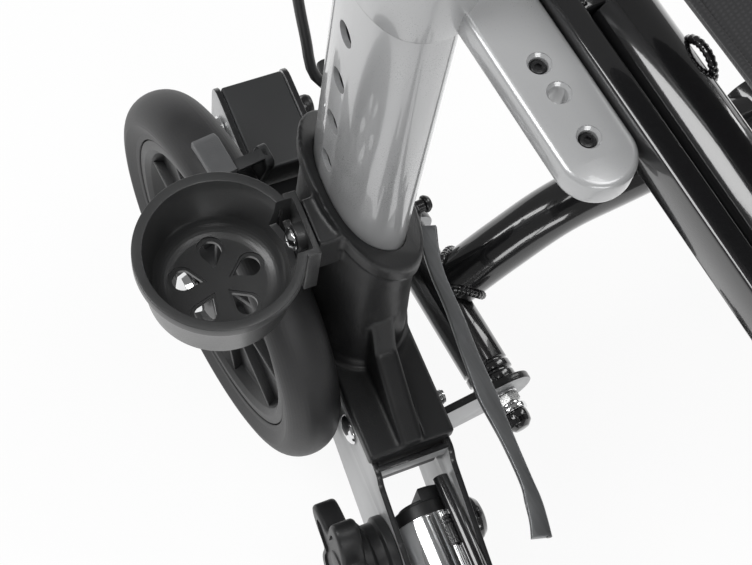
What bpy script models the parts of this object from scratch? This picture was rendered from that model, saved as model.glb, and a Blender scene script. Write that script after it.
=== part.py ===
"""Side-folding rollator: two side frames, a folding cross brace and a folding seat.

Frame: metres, +Z up, origin on the floor under the middle of the object.
The user walks behind it, on the +Y side, so the front faces -Y.
The left side frame is at negative X. It is modelled first, and the right one is its mirror copy.
"""
import bpy
import bmesh
from math import acos, cos, pi, radians, sin, sqrt
from mathutils import Matrix, Vector

# Gaps between pieces that touch or turn on each other
GAP = 0.0003
LOOSE = 0.001

# Rear wheel
REAR_WHEEL_X = -0.290
REAR_WHEEL_Y = 0.215
WHEEL_RADIUS = 0.100
TYRE_WIDTH = 0.029
TYRE_DEPTH = 0.021
AXLE_RADIUS = 0.006

# Side frame: it splays outward to the front about the rear axle
SPLAY = radians(7.2)
FLANGE_OUTER = 0.028
BRACKET_WIDTH = 0.041
PLATE = 0.003
BRACKET_TOP = 0.112
BRACKET_REAR = 0.103
BRACKET_FRONT = 0.205
BRACKET_BOTTOM_REAR = 0.066
BRACKET_BOTTOM_FRONT = 0.036
BRACKET_FRONT_TOP = 0.084
BOLT_RADIUS = 0.004
REAR_BOLT = (0.084, 0.092)
FRONT_BOLT = (-0.0970, 0.097)
CLAMP_BOLT = (-0.156, 0.078)

# Column, its socket and the telescoping handle post
COLUMN_ACROSS = 0.0477
BOSS_ACROSS = 0.0490
COLUMN_FORWARD = 0.032
COLUMN_HALF = (0.019, 0.0305)
COLUMN_WALL = 0.0022
COLUMN_FOOT = 0.125
COLUMN_TOP = 0.700
HOLE_RADIUS = 0.0055
HOLE_LOWEST = 0.2605
HOLE_PITCH = 0.0320
HOLE_COUNT = 4
BLOCK_TOP = 0.121
COLLAR_TOP = 0.2225
COLLAR_SLANT = 0.90
COLLAR_DIP = 0.0060
CABLE_ENTRY_Z = 0.249
COLLAR_HALF = (0.0260, 0.0410)
POST_FOOT = 0.500
POST_TOP = 0.820
HANDLE_TUBE_RADIUS = 0.012
HANDLE_HEIGHT = 0.892
HANDLE_REACH = 0.375
GRIP_START = 0.258
GRIP_RADIUS = 0.0170

# Front leg tube, caster and strut
LEG_RADIUS = 0.016
LEG_START = 0.150
LEG_HEIGHT = 0.079
HEAD_FORWARD = 0.470
HEAD_RADIUS = 0.0220
HEAD_LENGTH = 0.063
LEG_TO_HEAD_BOTTOM = 0.033
CASTER_RADIUS = 0.090
CROWN_OVER_WHEEL = 0.009
CROWN_THICKNESS = 0.017
CASTER_WIDTH = 0.030
CASTER_TRAIL = 0.035
FORK_PLATE = 0.005
STEM_RADIUS = 0.008

# Folding cross brace
HINGE_X = -0.1935
HINGE_Z = 0.085
HINGE_TUBE_RADIUS = 0.0125
HINGE_TUBE_FRONT = 0.1035
HINGE_TUBE_REAR = 0.1985
EAR_PLATE = 0.004
EAR_HALF = 0.017
BRACE_RISE = 0.040
CROSS_TUBE_RADIUS = 0.014
LEFT_CROSS_Y = 0.163
CROSS_PIN_RADIUS = 0.005

# Folding seat
SEAT_HINGE_Z = 0.400
RAIL_RADIUS = 0.010
RAIL_FRONT = -0.120
RAIL_REAR = 0.150
SLEEVE_FRONT = -0.075
SLEEVE_REAR = 0.124
SLEEVE_WALL = 0.0030
SEAT_BAR_RADIUS = 0.0078
SEAT_BAR_YS = (0.093, -0.055)
SEAT_PIN_RADIUS = 0.004
PAD_THICKNESS = 0.022
PAD_SIDE = -0.2115
PAD_FRONT = -0.100
PAD_REAR = 0.135
PAD_MIDDLE_GAP = 0.0015
PAD_CORNER = 0.020
PAD_DRAW = 0.0025
PAD_CROWN = 0.0065

# Seat arm on the column
ARM_TOP = 0.405
ARM_THICKNESS = 0.012
ARM_X = -0.2315
ARM_RADIUS = 0.014
ARM_TIP_Y = 0.0795
ARM_HOLES = (0.116, 0.1035, 0.085)
ARM_HOLE_RADIUS = 0.0048

# Cane cup
CUP_ACROSS = -0.0235
CUP_FORWARD = 0.0469
CUP_RIM_RADIUS = 0.0369
CUP_RIM_WIDTH = 0.0045
CUP_FLOOR_RADIUS = 0.0300
CUP_TOP = 0.240
CUP_DEPTH = 0.036
CUP_FLOOR = 0.0025
CUP_DROPS = 5
CUP_SCREW = (-0.0485, 0.231)
CUP_SCREW_SEAT = 0.0095

# Fold lock lever
LEVER_Z = 0.150
LEVER_THICKNESS = 0.004
LEVER_EYE_HALF = 0.0022
LEVER_PIVOT = (-0.2015, 0.1860)
LEVER_ROUTE = [(-0.2035, 0.1745), (-0.2085, 0.1620), (-0.2118, 0.1497), (-0.2138, 0.1360), (-0.2155, 0.1252),
               (-0.2185, 0.1100), (-0.2212, 0.0939), (-0.2227, 0.0834), (-0.2250, 0.0625), (-0.2277, 0.0422),
               (-0.2298, 0.0326), (-0.2325, 0.0234), (-0.2355, 0.0160)]
LEVER_HALF_WIDTHS = (0.0042, 0.0036, 0.0032, 0.0031, 0.0034, 0.0037, 0.0042, 0.0044, 0.0031, 0.0028, 0.0036,
                     0.0039,
                     0.0045)

# Brake
BRAKE_PIVOT_Y = 0.245
BRAKE_PIVOT_Z = 0.092
CABLE_RADIUS = 0.0024

# Backrest band
BACKREST_Z = 0.620
BACKREST_HEIGHT = 0.055
BACKREST_THICKNESS = 0.014
BACKREST_FRONT = -0.110

# Middle of the whole outline on the floor, in the frame that the sizes above are given in
MIDDLE = (-0.0143, 0.0356, 0)

# Derived places
FLANGE_INNER = FLANGE_OUTER + PLATE
FAR_INNER = FLANGE_OUTER + BRACKET_WIDTH - PLATE
FAR_OUTER = FLANGE_OUTER + BRACKET_WIDTH
BRACKET_MIDDLE = FLANGE_OUTER + BRACKET_WIDTH / 2
SIDE = Matrix.Translation((REAR_WHEEL_X, REAR_WHEEL_Y, 0)) @ Matrix.Rotation(-SPLAY, 4, "Z")
COLUMN_AXIS = SIDE @ Vector((COLUMN_ACROSS, -COLUMN_FORWARD, 0))
HEAD_AXIS = SIDE @ Vector((BRACKET_MIDDLE, -HEAD_FORWARD, 0))
CASTER_AXLE = Vector((HEAD_AXIS.x, HEAD_AXIS.y + CASTER_TRAIL, CASTER_RADIUS))
REAR_AXLE = Vector((REAR_WHEEL_X, REAR_WHEEL_Y, WHEEL_RADIUS))
BRACE_PIN_Z = HINGE_Z + BRACE_RISE
SEAT_PIN_Z = SEAT_HINGE_Z + BRACE_RISE
CROSS_SPACING = 2 * CROSS_TUBE_RADIUS + LOOSE
SEAT_BAR_SPACING = 2 * SEAT_BAR_RADIUS + LOOSE
HEAD_BOTTOM = 2 * CASTER_RADIUS + CROWN_OVER_WHEEL + CROWN_THICKNESS + LOOSE
HEAD_TOP = HEAD_BOTTOM + HEAD_LENGTH
LEG_TOP_HEIGHT = HEAD_BOTTOM + LEG_TO_HEAD_BOTTOM
FORK_INNER = CASTER_WIDTH / 2 + 0.0035
FORK_OUTER = FORK_INNER + FORK_PLATE


def clear_scene():
    for obj in list(bpy.data.objects):
        bpy.data.objects.remove(obj)


def make_collection(name):
    collection = bpy.data.collections.new(name)
    bpy.context.scene.collection.children.link(collection)
    return collection


def make_material(name, colour, roughness, metallic):
    material = bpy.data.materials.new(name)
    material.use_nodes = True
    shader = material.node_tree.nodes["Principled BSDF"]
    shader.inputs["Base Color"].default_value = (*colour, 1.0)
    shader.inputs["Roughness"].default_value = roughness
    shader.inputs["Metallic"].default_value = metallic
    return material


clear_scene()
PARTS = make_collection("rollator")
BLACK_PLASTIC = make_material("black_plastic", (0.030, 0.031, 0.033), 0.45, 0.0)
BLACK_PAINT = make_material("black_gloss_paint", (0.012, 0.013, 0.014), 0.18, 0.0)
SILVER_PAINT = make_material("silver_grey_paint", (0.58, 0.59, 0.60), 0.30, 0.2)
PALE_STEEL = make_material("pale_satin_steel", (0.55, 0.56, 0.57), 0.40, 0.6)
CHROME = make_material("chrome", (0.72, 0.73, 0.74), 0.10, 1.0)
RUBBER = make_material("tyre_rubber", (0.028, 0.028, 0.030), 0.55, 0.0)
FABRIC = make_material("black_fabric", (0.022, 0.022, 0.024), 0.85, 0.0)
GREY_STEEL = make_material("grey_blade_steel", (0.20, 0.21, 0.22), 0.35, 0.7)
GREY_PLASTIC = make_material("grey_plastic", (0.12, 0.12, 0.125), 0.50, 0.0)


def object_from_bmesh(bm):
    """A loose object whose mesh is the bmesh."""
    mesh = bpy.data.meshes.new("piece")
    bm.to_mesh(mesh)
    bm.free()
    obj = bpy.data.objects.new("piece", mesh)
    PARTS.objects.link(obj)
    return obj


def to_mesh(obj):
    """Replace an object by the welded mesh that its curve or modifiers give, with its place in the mesh."""
    bpy.context.view_layer.update()
    evaluated = obj.evaluated_get(bpy.context.evaluated_depsgraph_get())
    mesh = bpy.data.meshes.new_from_object(evaluated)
    mesh.transform(obj.matrix_world)
    bpy.data.objects.remove(obj)
    bm = bmesh.new()
    bm.from_mesh(mesh)
    bmesh.ops.remove_doubles(bm, verts=bm.verts, dist=0.000002)
    bmesh.ops.dissolve_degenerate(bm, edges=bm.edges, dist=0.000001)
    bmesh.ops.recalc_face_normals(bm, faces=bm.faces)
    bpy.data.meshes.remove(mesh)
    return object_from_bmesh(bm)


def combine(target, tools, operation):
    """Union or difference of loose mesh objects, tools used up."""
    for tool in tools:
        modifier = target.modifiers.new("combine", "BOOLEAN")
        modifier.operation = operation
        modifier.solver = "EXACT"
        modifier.object = tool
        target = to_mesh(target)
        bpy.data.objects.remove(tool)
    return target


def joined(*objects):
    return combine(objects[0], objects[1:], "UNION")


def cut(target, *tools):
    return combine(target, tools, "DIFFERENCE")


def group(objects):
    """Several separate solids in one object."""
    bm = bmesh.new()
    for obj in objects:
        bm.from_mesh(obj.data)
        bpy.data.objects.remove(obj)
    return object_from_bmesh(bm)


def moved(obj, matrix):
    obj.data.transform(matrix)
    return obj


def box(low, high):
    bm = bmesh.new()
    bmesh.ops.create_cube(bm, size=1.0)
    size = Vector(high) - Vector(low)
    middle = (Vector(high) + Vector(low)) / 2
    bmesh.ops.scale(bm, vec=size, verts=bm.verts)
    bmesh.ops.translate(bm, vec=middle, verts=bm.verts)
    return object_from_bmesh(bm)


def axis_matrix(start, direction):
    """A frame at start whose +Z runs along direction."""
    turn = Vector(direction).to_track_quat("Z", "Y").to_matrix().to_4x4()
    return Matrix.Translation(start) @ turn


def cylinder(start, end, radius, end_radius=None, segments=14):
    start, end = Vector(start), Vector(end)
    bm = bmesh.new()
    bmesh.ops.create_cone(bm, cap_ends=True, segments=segments, radius1=radius,
                          radius2=radius if end_radius is None else end_radius, depth=(end - start).length)
    bmesh.ops.transform(bm, matrix=axis_matrix((start + end) / 2, end - start), verts=bm.verts)
    return object_from_bmesh(bm)


def turned(profile, start, direction, steps=20, closed=False):
    """Solid of revolution: profile points are (radius, distance along the axis)."""
    bm = bmesh.new()
    points = [bm.verts.new((radius, 0, along)) for radius, along in profile]
    for first, second in zip(points, points[1:]):
        bm.edges.new((first, second))
    if closed:
        bm.edges.new((points[-1], points[0]))
    obj = object_from_bmesh(bm)
    screw = obj.modifiers.new("turn", "SCREW")
    screw.steps = steps
    screw.render_steps = steps
    screw.use_merge_vertices = True
    screw.merge_threshold = 0.00001
    obj = to_mesh(obj)
    return moved(obj, axis_matrix(start, direction))


def plate(outline, low, high, matrix=None, holes=()):
    """Flat outline in x and y, filled and extruded from low to high; holes are outlines too."""
    curve = bpy.data.curves.new("outline", "CURVE")
    curve.dimensions = "2D"
    curve.fill_mode = "BOTH"
    curve.extrude = (high - low) / 2
    for points in (outline, *holes):
        spline = curve.splines.new("POLY")
        spline.points.add(len(points) - 1)
        for point, (x, y) in zip(spline.points, points):
            point.co = (x, y, 0, 1)
        spline.use_cyclic_u = True
    obj = bpy.data.objects.new("plate", curve)
    PARTS.objects.link(obj)
    obj.location.z = (high + low) / 2
    obj = to_mesh(obj)
    return moved(obj, matrix) if matrix else obj


def circle(x, y, radius, count=16):
    return [(x + radius * cos(2 * pi * i / count),
             y + radius * sin(2 * pi * i / count)) for i in range(count)]


def oval(x, y, half_x, half_y, count=20, power=2.3):
    """A slightly squared ellipse."""
    points = []
    for i in range(count):
        turn = 2 * pi * i / count
        c, s = cos(turn), sin(turn)
        points.append((x + half_x * abs(c) ** (2 / power) * (1 if c >= 0 else -1),
                       y + half_y * abs(s) ** (2 / power) * (1 if s >= 0 else -1)))
    return points


def loft(sections):
    """Solid through stacked outlines: each section is (height, outline points)."""
    bm = bmesh.new()
    rings = []
    for height, outline in sections:
        ring = [bm.verts.new((x, y, height)) for x, y in outline]
        edges = [bm.edges.new((ring[i], ring[(i + 1) % len(ring)])) for i in range(len(ring))]
        rings.append(edges)
    for lower, upper in zip(rings, rings[1:]):
        bmesh.ops.bridge_loops(bm, edges=lower + upper)
    bmesh.ops.holes_fill(bm, edges=rings[0] + rings[-1], sides=0)
    bmesh.ops.recalc_face_normals(bm, faces=bm.faces)
    return object_from_bmesh(bm)


def tube(points, radius, bevel_resolution=4, steps=3):
    """Round bar along a smooth curve through the points, with filled caps."""
    curve = bpy.data.curves.new("tube", "CURVE")
    curve.dimensions = "3D"
    curve.bevel_depth = radius
    curve.bevel_resolution = bevel_resolution
    curve.use_fill_caps = True
    curve.resolution_u = steps
    spline = curve.splines.new("BEZIER")
    spline.bezier_points.add(len(points) - 1)
    for knot, point in zip(spline.bezier_points, points):
        knot.co = point
        knot.handle_left_type = "AUTO"
        knot.handle_right_type = "AUTO"
    ends = ((spline.bezier_points[0], points[1]), (spline.bezier_points[-1], points[-2]))
    for knot, neighbour in ends:
        knot.handle_left_type = "VECTOR"
        knot.handle_right_type = "VECTOR"
    obj = bpy.data.objects.new("tube", curve)
    PARTS.objects.link(obj)
    return to_mesh(obj)


def bent(corners, radii, steps=4):
    """Straight lines between the corners, with a circular bend of the given radius at each inner one."""
    corners = [Vector(corner) for corner in corners]
    route = [corners[0]]
    for before, corner, after, radius in zip(corners, corners[1:], corners[2:], radii):
        into = (corner - before).normalized()
        out = (after - corner).normalized()
        angle = into.angle(out)
        reach = radius * sin(angle / 2) / cos(angle / 2)
        start = corner - into * reach
        side = (out - into * into.dot(out)).normalized()
        for step in range(steps + 1):
            turn = angle * step / steps
            route.append(start + into * radius * sin(turn) + side * radius * (1 - cos(turn)))
    route.append(corners[-1])
    return route


def even_route(points, spacing):
    """Points at an even spacing along a smooth curve through the given ones."""
    points = [Vector(point) for point in points]
    padded = [2 * points[0] - points[1]] + points + [2 * points[-1] - points[-2]]
    fine = []
    for before, start, end, after in zip(padded, padded[1:], padded[2:], padded[3:]):
        for step in range(20):
            t = step / 20
            fine.append(0.5 * (2 * start + (end - before) * t + (2 * before - 5 * start + 4 * end - after) * t * t
                               + (3 * start - before - 3 * end + after) * t ** 3))
    fine.append(points[-1])
    length = sum((b - a).length for a, b in zip(fine, fine[1:]))
    count = round(length / spacing)
    route, covered, wanted = [fine[0]], 0.0, 1
    for a, b in zip(fine, fine[1:]):
        part = (b - a).length
        while wanted < count and covered + part >= wanted * length / count:
            route.append(a.lerp(b, (wanted * length / count - covered) / part))
            wanted += 1
        covered += part
    route.append(fine[-1])
    return route


def rod(route, radius, bevel_resolution):
    """Round bar along straight steps between the points, with filled caps."""
    curve = bpy.data.curves.new("rod", "CURVE")
    curve.dimensions = "3D"
    curve.bevel_depth = radius
    curve.bevel_resolution = bevel_resolution
    curve.use_fill_caps = True
    spline = curve.splines.new("POLY")
    spline.points.add(len(route) - 1)
    for knot, point in zip(spline.points, route):
        knot.co = (*point, 1)
    obj = bpy.data.objects.new("rod", curve)
    PARTS.objects.link(obj)
    return to_mesh(obj)


def empty(name, place, parent=None):
    obj = bpy.data.objects.new(name, None)
    obj.empty_display_size = 0.02
    obj.location = Vector(place) - (parent.matrix_world.translation if parent else Vector())
    obj.parent = parent
    PARTS.objects.link(obj)
    bpy.context.view_layer.update()
    return obj


def piece(obj, name, material, carrier):
    """Name a finished solid, give it its material, and hang it on its carrier's joint axis."""
    place = carrier.matrix_world.translation
    obj = to_mesh(obj)
    obj.data.transform(Matrix.Translation(-place))
    obj.name = name
    obj.data.name = name
    obj.data.materials.clear()
    obj.data.materials.append(material)
    obj.parent = carrier
    obj.data.shade_smooth()
    obj.data.set_sharp_from_angle(angle=radians(35))
    return obj


def mirror_piece(obj, name, carrier):
    """Copy of a left piece for the right side."""
    mesh = obj.data.copy()
    bm = bmesh.new()
    bm.from_mesh(mesh)
    bmesh.ops.scale(bm, vec=(-1, 1, 1), verts=bm.verts)
    bmesh.ops.reverse_faces(bm, faces=bm.faces)
    bm.to_mesh(mesh)
    bm.free()
    copy = bpy.data.objects.new(name, mesh)
    mesh.name = name
    PARTS.objects.link(copy)
    copy.parent = carrier
    return copy


def side_plate(outline, low, high, holes=()):
    """Upright plate along the side frame: outline in (rearward, height), low and high are across it."""
    upright = Matrix(((0, 0, 1, 0), (1, 0, 0, 0), (0, 1, 0, 0), (0, 0, 0, 1)))
    return plate(outline, low, high, SIDE @ upright, holes)


def across_plate(outline, low, high, holes=()):
    """Upright plate square to Y: outline in (x, height), low and high along Y."""
    upright = Matrix(((1, 0, 0, 0), (0, 0, -1, 0), (0, 1, 0, 0), (0, 0, 0, 1)))
    return plate(outline, -high, -low, upright, holes)


def along_plate(outline, low, high, holes=()):
    """Upright plate square to X: outline in (y, height), low and high along X."""
    upright = Matrix(((0, 0, 1, 0), (1, 0, 0, 0), (0, 1, 0, 0), (0, 0, 0, 1)))
    return plate(outline, low, high, upright, holes)


def in_side(x, y, z):
    return SIDE @ Vector((x, y, z))


def axle_hole(radius):
    """Cutter along the rear axle, which is square to the wheel and not to the splayed flanges."""
    return cylinder(REAR_AXLE + Vector((-0.03, 0, 0)), REAR_AXLE + Vector((0.075, 0, 0)), radius + 0.0001)


def side_bolt_hole(place, radius):
    return cylinder(in_side(-0.02, *place), in_side(0.10, *place), radius + 0.0003, segments=12)


def make_bracket(with_lug):
    """U bracket: two tapered flanges, the strip that joins them, the hinge ears, and on the left the lever's lug."""
    outline = [(BRACKET_REAR, BRACKET_TOP), (BRACKET_REAR, 0.076),
               (BRACKET_REAR - 0.008, BRACKET_BOTTOM_REAR + 0.002), (-0.016, BRACKET_BOTTOM_REAR),
               (-0.130, BRACKET_BOTTOM_FRONT), (-BRACKET_FRONT + 0.010, BRACKET_BOTTOM_FRONT),
               (-BRACKET_FRONT, BRACKET_BOTTOM_FRONT + 0.010), (-BRACKET_FRONT, BRACKET_FRONT_TOP - 0.010),
               (-BRACKET_FRONT + 0.007, BRACKET_FRONT_TOP), (-0.1325, BRACKET_TOP - 0.006), (-0.1275, BRACKET_TOP)]
    near = side_plate(outline, FLANGE_OUTER, FLANGE_INNER)
    far = side_plate(outline, FAR_INNER, FAR_OUTER)
    strip = box((FLANGE_INNER - 0.001, -0.1265, BRACKET_TOP - 0.010),
                (FAR_INNER + 0.001, -0.1235, BRACKET_TOP))
    strip = moved(strip, SIDE)
    ears = []
    for front in (HINGE_TUBE_FRONT - LOOSE - EAR_PLATE, HINGE_TUBE_REAR + LOOSE):
        flange_x = REAR_WHEEL_X + (FAR_OUTER + sin(SPLAY) * (front + EAR_PLATE / 2 - REAR_WHEEL_Y)) / cos(SPLAY)
        half_turn = [(HINGE_X + EAR_HALF * sin(pi * i / 8),
                      HINGE_Z - EAR_HALF * cos(pi * i / 8)) for i in range(9)]
        outline_ear = half_turn + [(flange_x - 0.0015, HINGE_Z + EAR_HALF),
                                   (flange_x - 0.0015, HINGE_Z - EAR_HALF)]
        ears.append(across_plate(outline_ear, front, front + EAR_PLATE))
    if with_lug:
        ears[1] = joined(ears[1], *make_lever_lug())
    bracket = joined(near, strip, far, *ears)
    bore = BOLT_RADIUS + GAP
    hinge_hole = cylinder((HINGE_X, 0.08, HINGE_Z), (HINGE_X, 0.23, HINGE_Z), bore + 0.0001, segments=12)
    return cut(bracket, axle_hole(AXLE_RADIUS + GAP), side_bolt_hole(REAR_BOLT, bore),
               side_bolt_hole(FRONT_BOLT, bore), side_bolt_hole(CLAMP_BOLT, bore), hinge_hole)


def make_lever_lug():
    """Lug and headed pin that carry the fold lock lever, welded on the rear ear of the left bracket."""
    pivot_x, pivot_y = LEVER_PIVOT
    left = pivot_x - LEVER_EYE_HALF - GAP - 0.0036
    lug = along_plate([(HINGE_TUBE_REAR + LOOSE + 0.002, HINGE_Z + HINGE_TUBE_RADIUS + 0.0015),
                       (HINGE_TUBE_REAR + LOOSE + 0.002, HINGE_Z + HINGE_TUBE_RADIUS + 0.012),
                       (pivot_y + 0.006, LEVER_Z + 0.006), (pivot_y - 0.006, LEVER_Z + 0.006),
                       (pivot_y - 0.007, LEVER_Z - 0.006), (pivot_y, HINGE_Z + HINGE_TUBE_RADIUS + 0.0015)],
                      left, left + 0.0036)
    neck = 0.0016 + GAP + 2 * LEVER_EYE_HALF + GAP
    pin_profile = [(0, 0), (0.0032, 0), (0.0032, neck), (0.0045, neck), (0.0045, neck + 0.0016),
                   (0.0032, neck + 0.0036), (0, neck + 0.0042)]
    pin = turned(pin_profile, (left + 0.002, pivot_y, LEVER_Z), (1, 0, 0), 14)
    return lug, pin


def make_rear_block():
    """Solid spacer between the flanges' rear ends."""
    block = box((FLANGE_INNER + GAP, 0.045, 0.074), (FAR_INNER - GAP, 0.099, BRACKET_TOP - 0.001))
    return cut(moved(block, SIDE), side_bolt_hole(REAR_BOLT, BOLT_RADIUS + GAP))


def make_housing():
    """Moulded socket: collar, boss, rib and the block that sits on and between the flanges."""
    y = -COLUMN_FORWARD
    x = BOSS_ACROSS
    boss = loft([(BRACKET_TOP + GAP, oval(x - 0.0005, y - 0.0015, 0.0235, 0.0415)),
                 (BLOCK_TOP, oval(x - 0.0005, y - 0.0015, 0.0262, 0.0440)),
                 (0.150, oval(x, y - 0.0005, 0.0252, 0.0410)), (0.195, oval(x, y, 0.0242, 0.0385)),
                 (COLLAR_TOP - 0.014, oval(x, y, 0.0245, 0.0385)),
                 (COLLAR_TOP - 0.011, oval(x, y + 0.001, *COLLAR_HALF)),
                 (COLLAR_TOP - 0.002, oval(x, y + 0.001, *COLLAR_HALF)),
                 (COLLAR_TOP, oval(x, y + 0.001, COLLAR_HALF[0] - 0.002, COLLAR_HALF[1] - 0.002))])
    for vertex in boss.data.vertices:
        share = min(1, max(0, (vertex.co.z - BLOCK_TOP) / (COLLAR_TOP - 0.014 - BLOCK_TOP))) ** 1.5
        ahead = max(0, y - vertex.co.y) / COLLAR_HALF[1]
        vertex.co.z -= share * (COLLAR_SLANT * (vertex.co.x - x) + COLLAR_DIP * ahead ** 2)
    saddle = box((FLANGE_OUTER - 0.0015, -0.122, BRACKET_TOP + GAP), (FAR_OUTER + 0.0015, 0.018, BLOCK_TOP))
    tongue = box((FLANGE_INNER + GAP, -0.1225, 0.080), (FAR_INNER - GAP, 0.020, BRACKET_TOP + 0.002))
    upright = Matrix(((0, 0, 1, 0), (1, 0, 0, 0), (0, 1, 0, 0), (0, 0, 0, 1)))
    nose = plate([(0.019, 0.084), (0.043, 0.088), (0.043, 0.097), (0.019, 0.1195)],
                 FLANGE_INNER + GAP, FAR_INNER - GAP, upright)
    rib = plate([(y - 0.030, BLOCK_TOP - 0.002), (-0.1215, BLOCK_TOP - 0.002), (-0.1215, BLOCK_TOP + 0.003),
                 (y - 0.052, 0.142), (y - 0.030, 0.178)], x - 0.0065, x + 0.0055, upright)
    pad = box((CUP_ACROSS + CUP_RIM_RADIUS + 0.0032, -0.058, 0.213), (x - 0.0205, -0.035, 0.238))
    housing = joined(saddle, tongue, boss, nose, rib, pad)
    fit = oval(COLUMN_ACROSS, y, COLUMN_HALF[0] + GAP, COLUMN_HALF[1] + GAP)
    pocket = loft([(COLUMN_FOOT - GAP, fit), (COLLAR_TOP + 0.05, fit)])
    screw_hole = cylinder((0.0, *CUP_SCREW), (x - 0.0215, *CUP_SCREW), 0.0029, segments=12)
    housing = moved(cut(housing, pocket, screw_hole), SIDE)
    return cut(housing, axle_hole(AXLE_RADIUS + GAP), side_bolt_hole(FRONT_BOLT, BOLT_RADIUS + GAP))


def make_column():
    """Oval column with a through bore for the handle post and a row of holes in its outboard side."""
    x, y = COLUMN_ACROSS, -COLUMN_FORWARD
    inner = (COLUMN_HALF[0] - COLUMN_WALL, COLUMN_HALF[1] - COLUMN_WALL)
    column = plate(oval(x, y, *COLUMN_HALF), COLUMN_FOOT, COLUMN_TOP, holes=[oval(x, y, *inner)])
    for number in range(HOLE_COUNT):
        z = HOLE_LOWEST + number * HOLE_PITCH
        column = cut(column, cylinder((0, y, z), (x, y, z), HOLE_RADIUS, segments=12))
    grommet = cylinder((x, y, CABLE_ENTRY_Z), (x, y + 0.06, CABLE_ENTRY_Z), CABLE_RADIUS + 0.0030,
                       segments=10)
    return moved(cut(column, grommet), SIDE)


def side_bolt(place, head, tip, head_radius):
    """Bolt across the bracket: dome head outboard, shank, and nut with a bare end inboard."""
    nut = FAR_OUTER + GAP
    rise = FLANGE_OUTER - GAP - head
    profile = [(0, head), (0.55 * head_radius, head + 0.14 * rise), (0.88 * head_radius, head + 0.48 * rise),
               (head_radius, head + 0.85 * rise), (head_radius, FLANGE_OUTER - GAP),
               (BOLT_RADIUS, FLANGE_OUTER - GAP), (BOLT_RADIUS, nut), (0.0065, nut), (0.0065, nut + 0.0052),
               (0.0050, nut + 0.0066), (0.0044, tip), (0, tip + 0.0012)]
    bolt = turned(profile, (0, *place), (1, 0, 0), 12)
    return moved(bolt, SIDE)


def make_axle():
    """Rear axle with its cap, inner spacer collar and end nut."""
    collar = FLANGE_OUTER / cos(SPLAY) - 0.0022
    nut = FAR_OUTER / cos(SPLAY) + 0.0018
    return turned([(0, -0.0275), (0.0060, -0.0268), (0.0100, -0.0240), (0.0110, -0.0205), (0.0110, -0.0190),
                   (AXLE_RADIUS, -0.0190), (AXLE_RADIUS, 0.0180), (0.0105, 0.0180), (0.0105, collar),
                   (AXLE_RADIUS, collar), (AXLE_RADIUS, nut), (0.0100, nut), (0.0100, nut + 0.0075),
                   (0.0050, nut + 0.0100), (0, nut + 0.0100)], REAR_AXLE, (1, 0, 0), 14)


def make_cup_screw():
    """Screw that holds the cup's tab on the housing."""
    seat = CUP_SCREW_SEAT - GAP
    screw = turned([(0, seat - 0.0036), (0.0030, seat - 0.0032), (0.0052, seat - 0.0012), (0.0054, seat),
                    (0.0024, seat), (0.0024, 0.0265), (0, 0.0265)], (0, *CUP_SCREW), (1, 0, 0), 12)
    return moved(screw, SIDE)


def make_tyre(radius, width, depth, steps):
    """Solid tyre with a broad flat tread and rounded shoulders."""
    half = width / 2
    profile = [(radius - depth, -half * 0.80), (radius - 0.008, -half), (radius - 0.0025, -half * 0.80),
               (radius, -half * 0.50), (radius, half * 0.50), (radius - 0.0025, half * 0.80),
               (radius - 0.008, half),
               (radius - depth, half * 0.80)]
    return turned(profile, (0, 0, 0), (1, 0, 0), steps, closed=True)


def make_rim(radius, half_hub, bore, steps):
    """One-piece wheel centre: outer ring, dished web and hub."""
    web = 0.0035
    profile = [(bore, -half_hub), (0.0185, -half_hub), (0.0195, -web), (radius - 0.009, -web),
               (radius - 0.004, -half_hub * 0.66), (radius, -half_hub * 0.66), (radius, half_hub * 0.66),
               (radius - 0.004, half_hub * 0.66), (radius - 0.009, web), (0.0195, web), (0.0185, half_hub),
               (bore, half_hub)]
    return turned(profile, (0, 0, 0), (1, 0, 0), steps, closed=True)


def make_stop_rod():
    """Round rod that lies welded along the upper inboard side of the leg tube."""
    radius = 0.0040
    away = LEG_RADIUS + radius - 0.0012
    x = BRACKET_MIDDLE + away * sin(radians(43))
    z = LEG_HEIGHT + away * cos(radians(43))
    return cylinder(in_side(x, -0.134, z), in_side(x, -0.250, z), radius, segments=14)


def make_leg_tube():
    """Chrome tube from the bracket forward, up behind the caster and into its head, with the welded rod."""
    route = [(LEG_START, LEG_HEIGHT), (0.284, LEG_HEIGHT), (0.331, LEG_TOP_HEIGHT),
             (HEAD_FORWARD - HEAD_RADIUS + 0.0015, LEG_TOP_HEIGHT)]
    leg = rod(bent([in_side(BRACKET_MIDDLE, -a, z) for a, z in route], (0.050, 0.050)), LEG_RADIUS, 4)
    return cut(joined(leg, make_stop_rod()), side_bolt_hole(CLAMP_BOLT, BOLT_RADIUS + GAP))


def make_tube_plug():
    """Stepped end plug: a disc over the tube's end with a taller half."""
    disc = cylinder(in_side(BRACKET_MIDDLE, -LEG_START + GAP, LEG_HEIGHT),
                    in_side(BRACKET_MIDDLE, -LEG_START + 0.0075, LEG_HEIGHT), LEG_RADIUS - 0.0020,
                    segments=18)
    step = cylinder(in_side(BRACKET_MIDDLE + 0.001, -LEG_START + 0.006, LEG_HEIGHT),
                    in_side(BRACKET_MIDDLE + 0.001, -LEG_START + 0.0145, LEG_HEIGHT), LEG_RADIUS - 0.0030,
                    segments=18)
    side = box((BRACKET_MIDDLE - 0.03, -LEG_START + 0.0080, LEG_HEIGHT - 0.03),
               (BRACKET_MIDDLE - 0.0005, -LEG_START + 0.0200, LEG_HEIGHT + 0.03))
    step = cut(step, moved(side, SIDE))
    return joined(disc, step)


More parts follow.
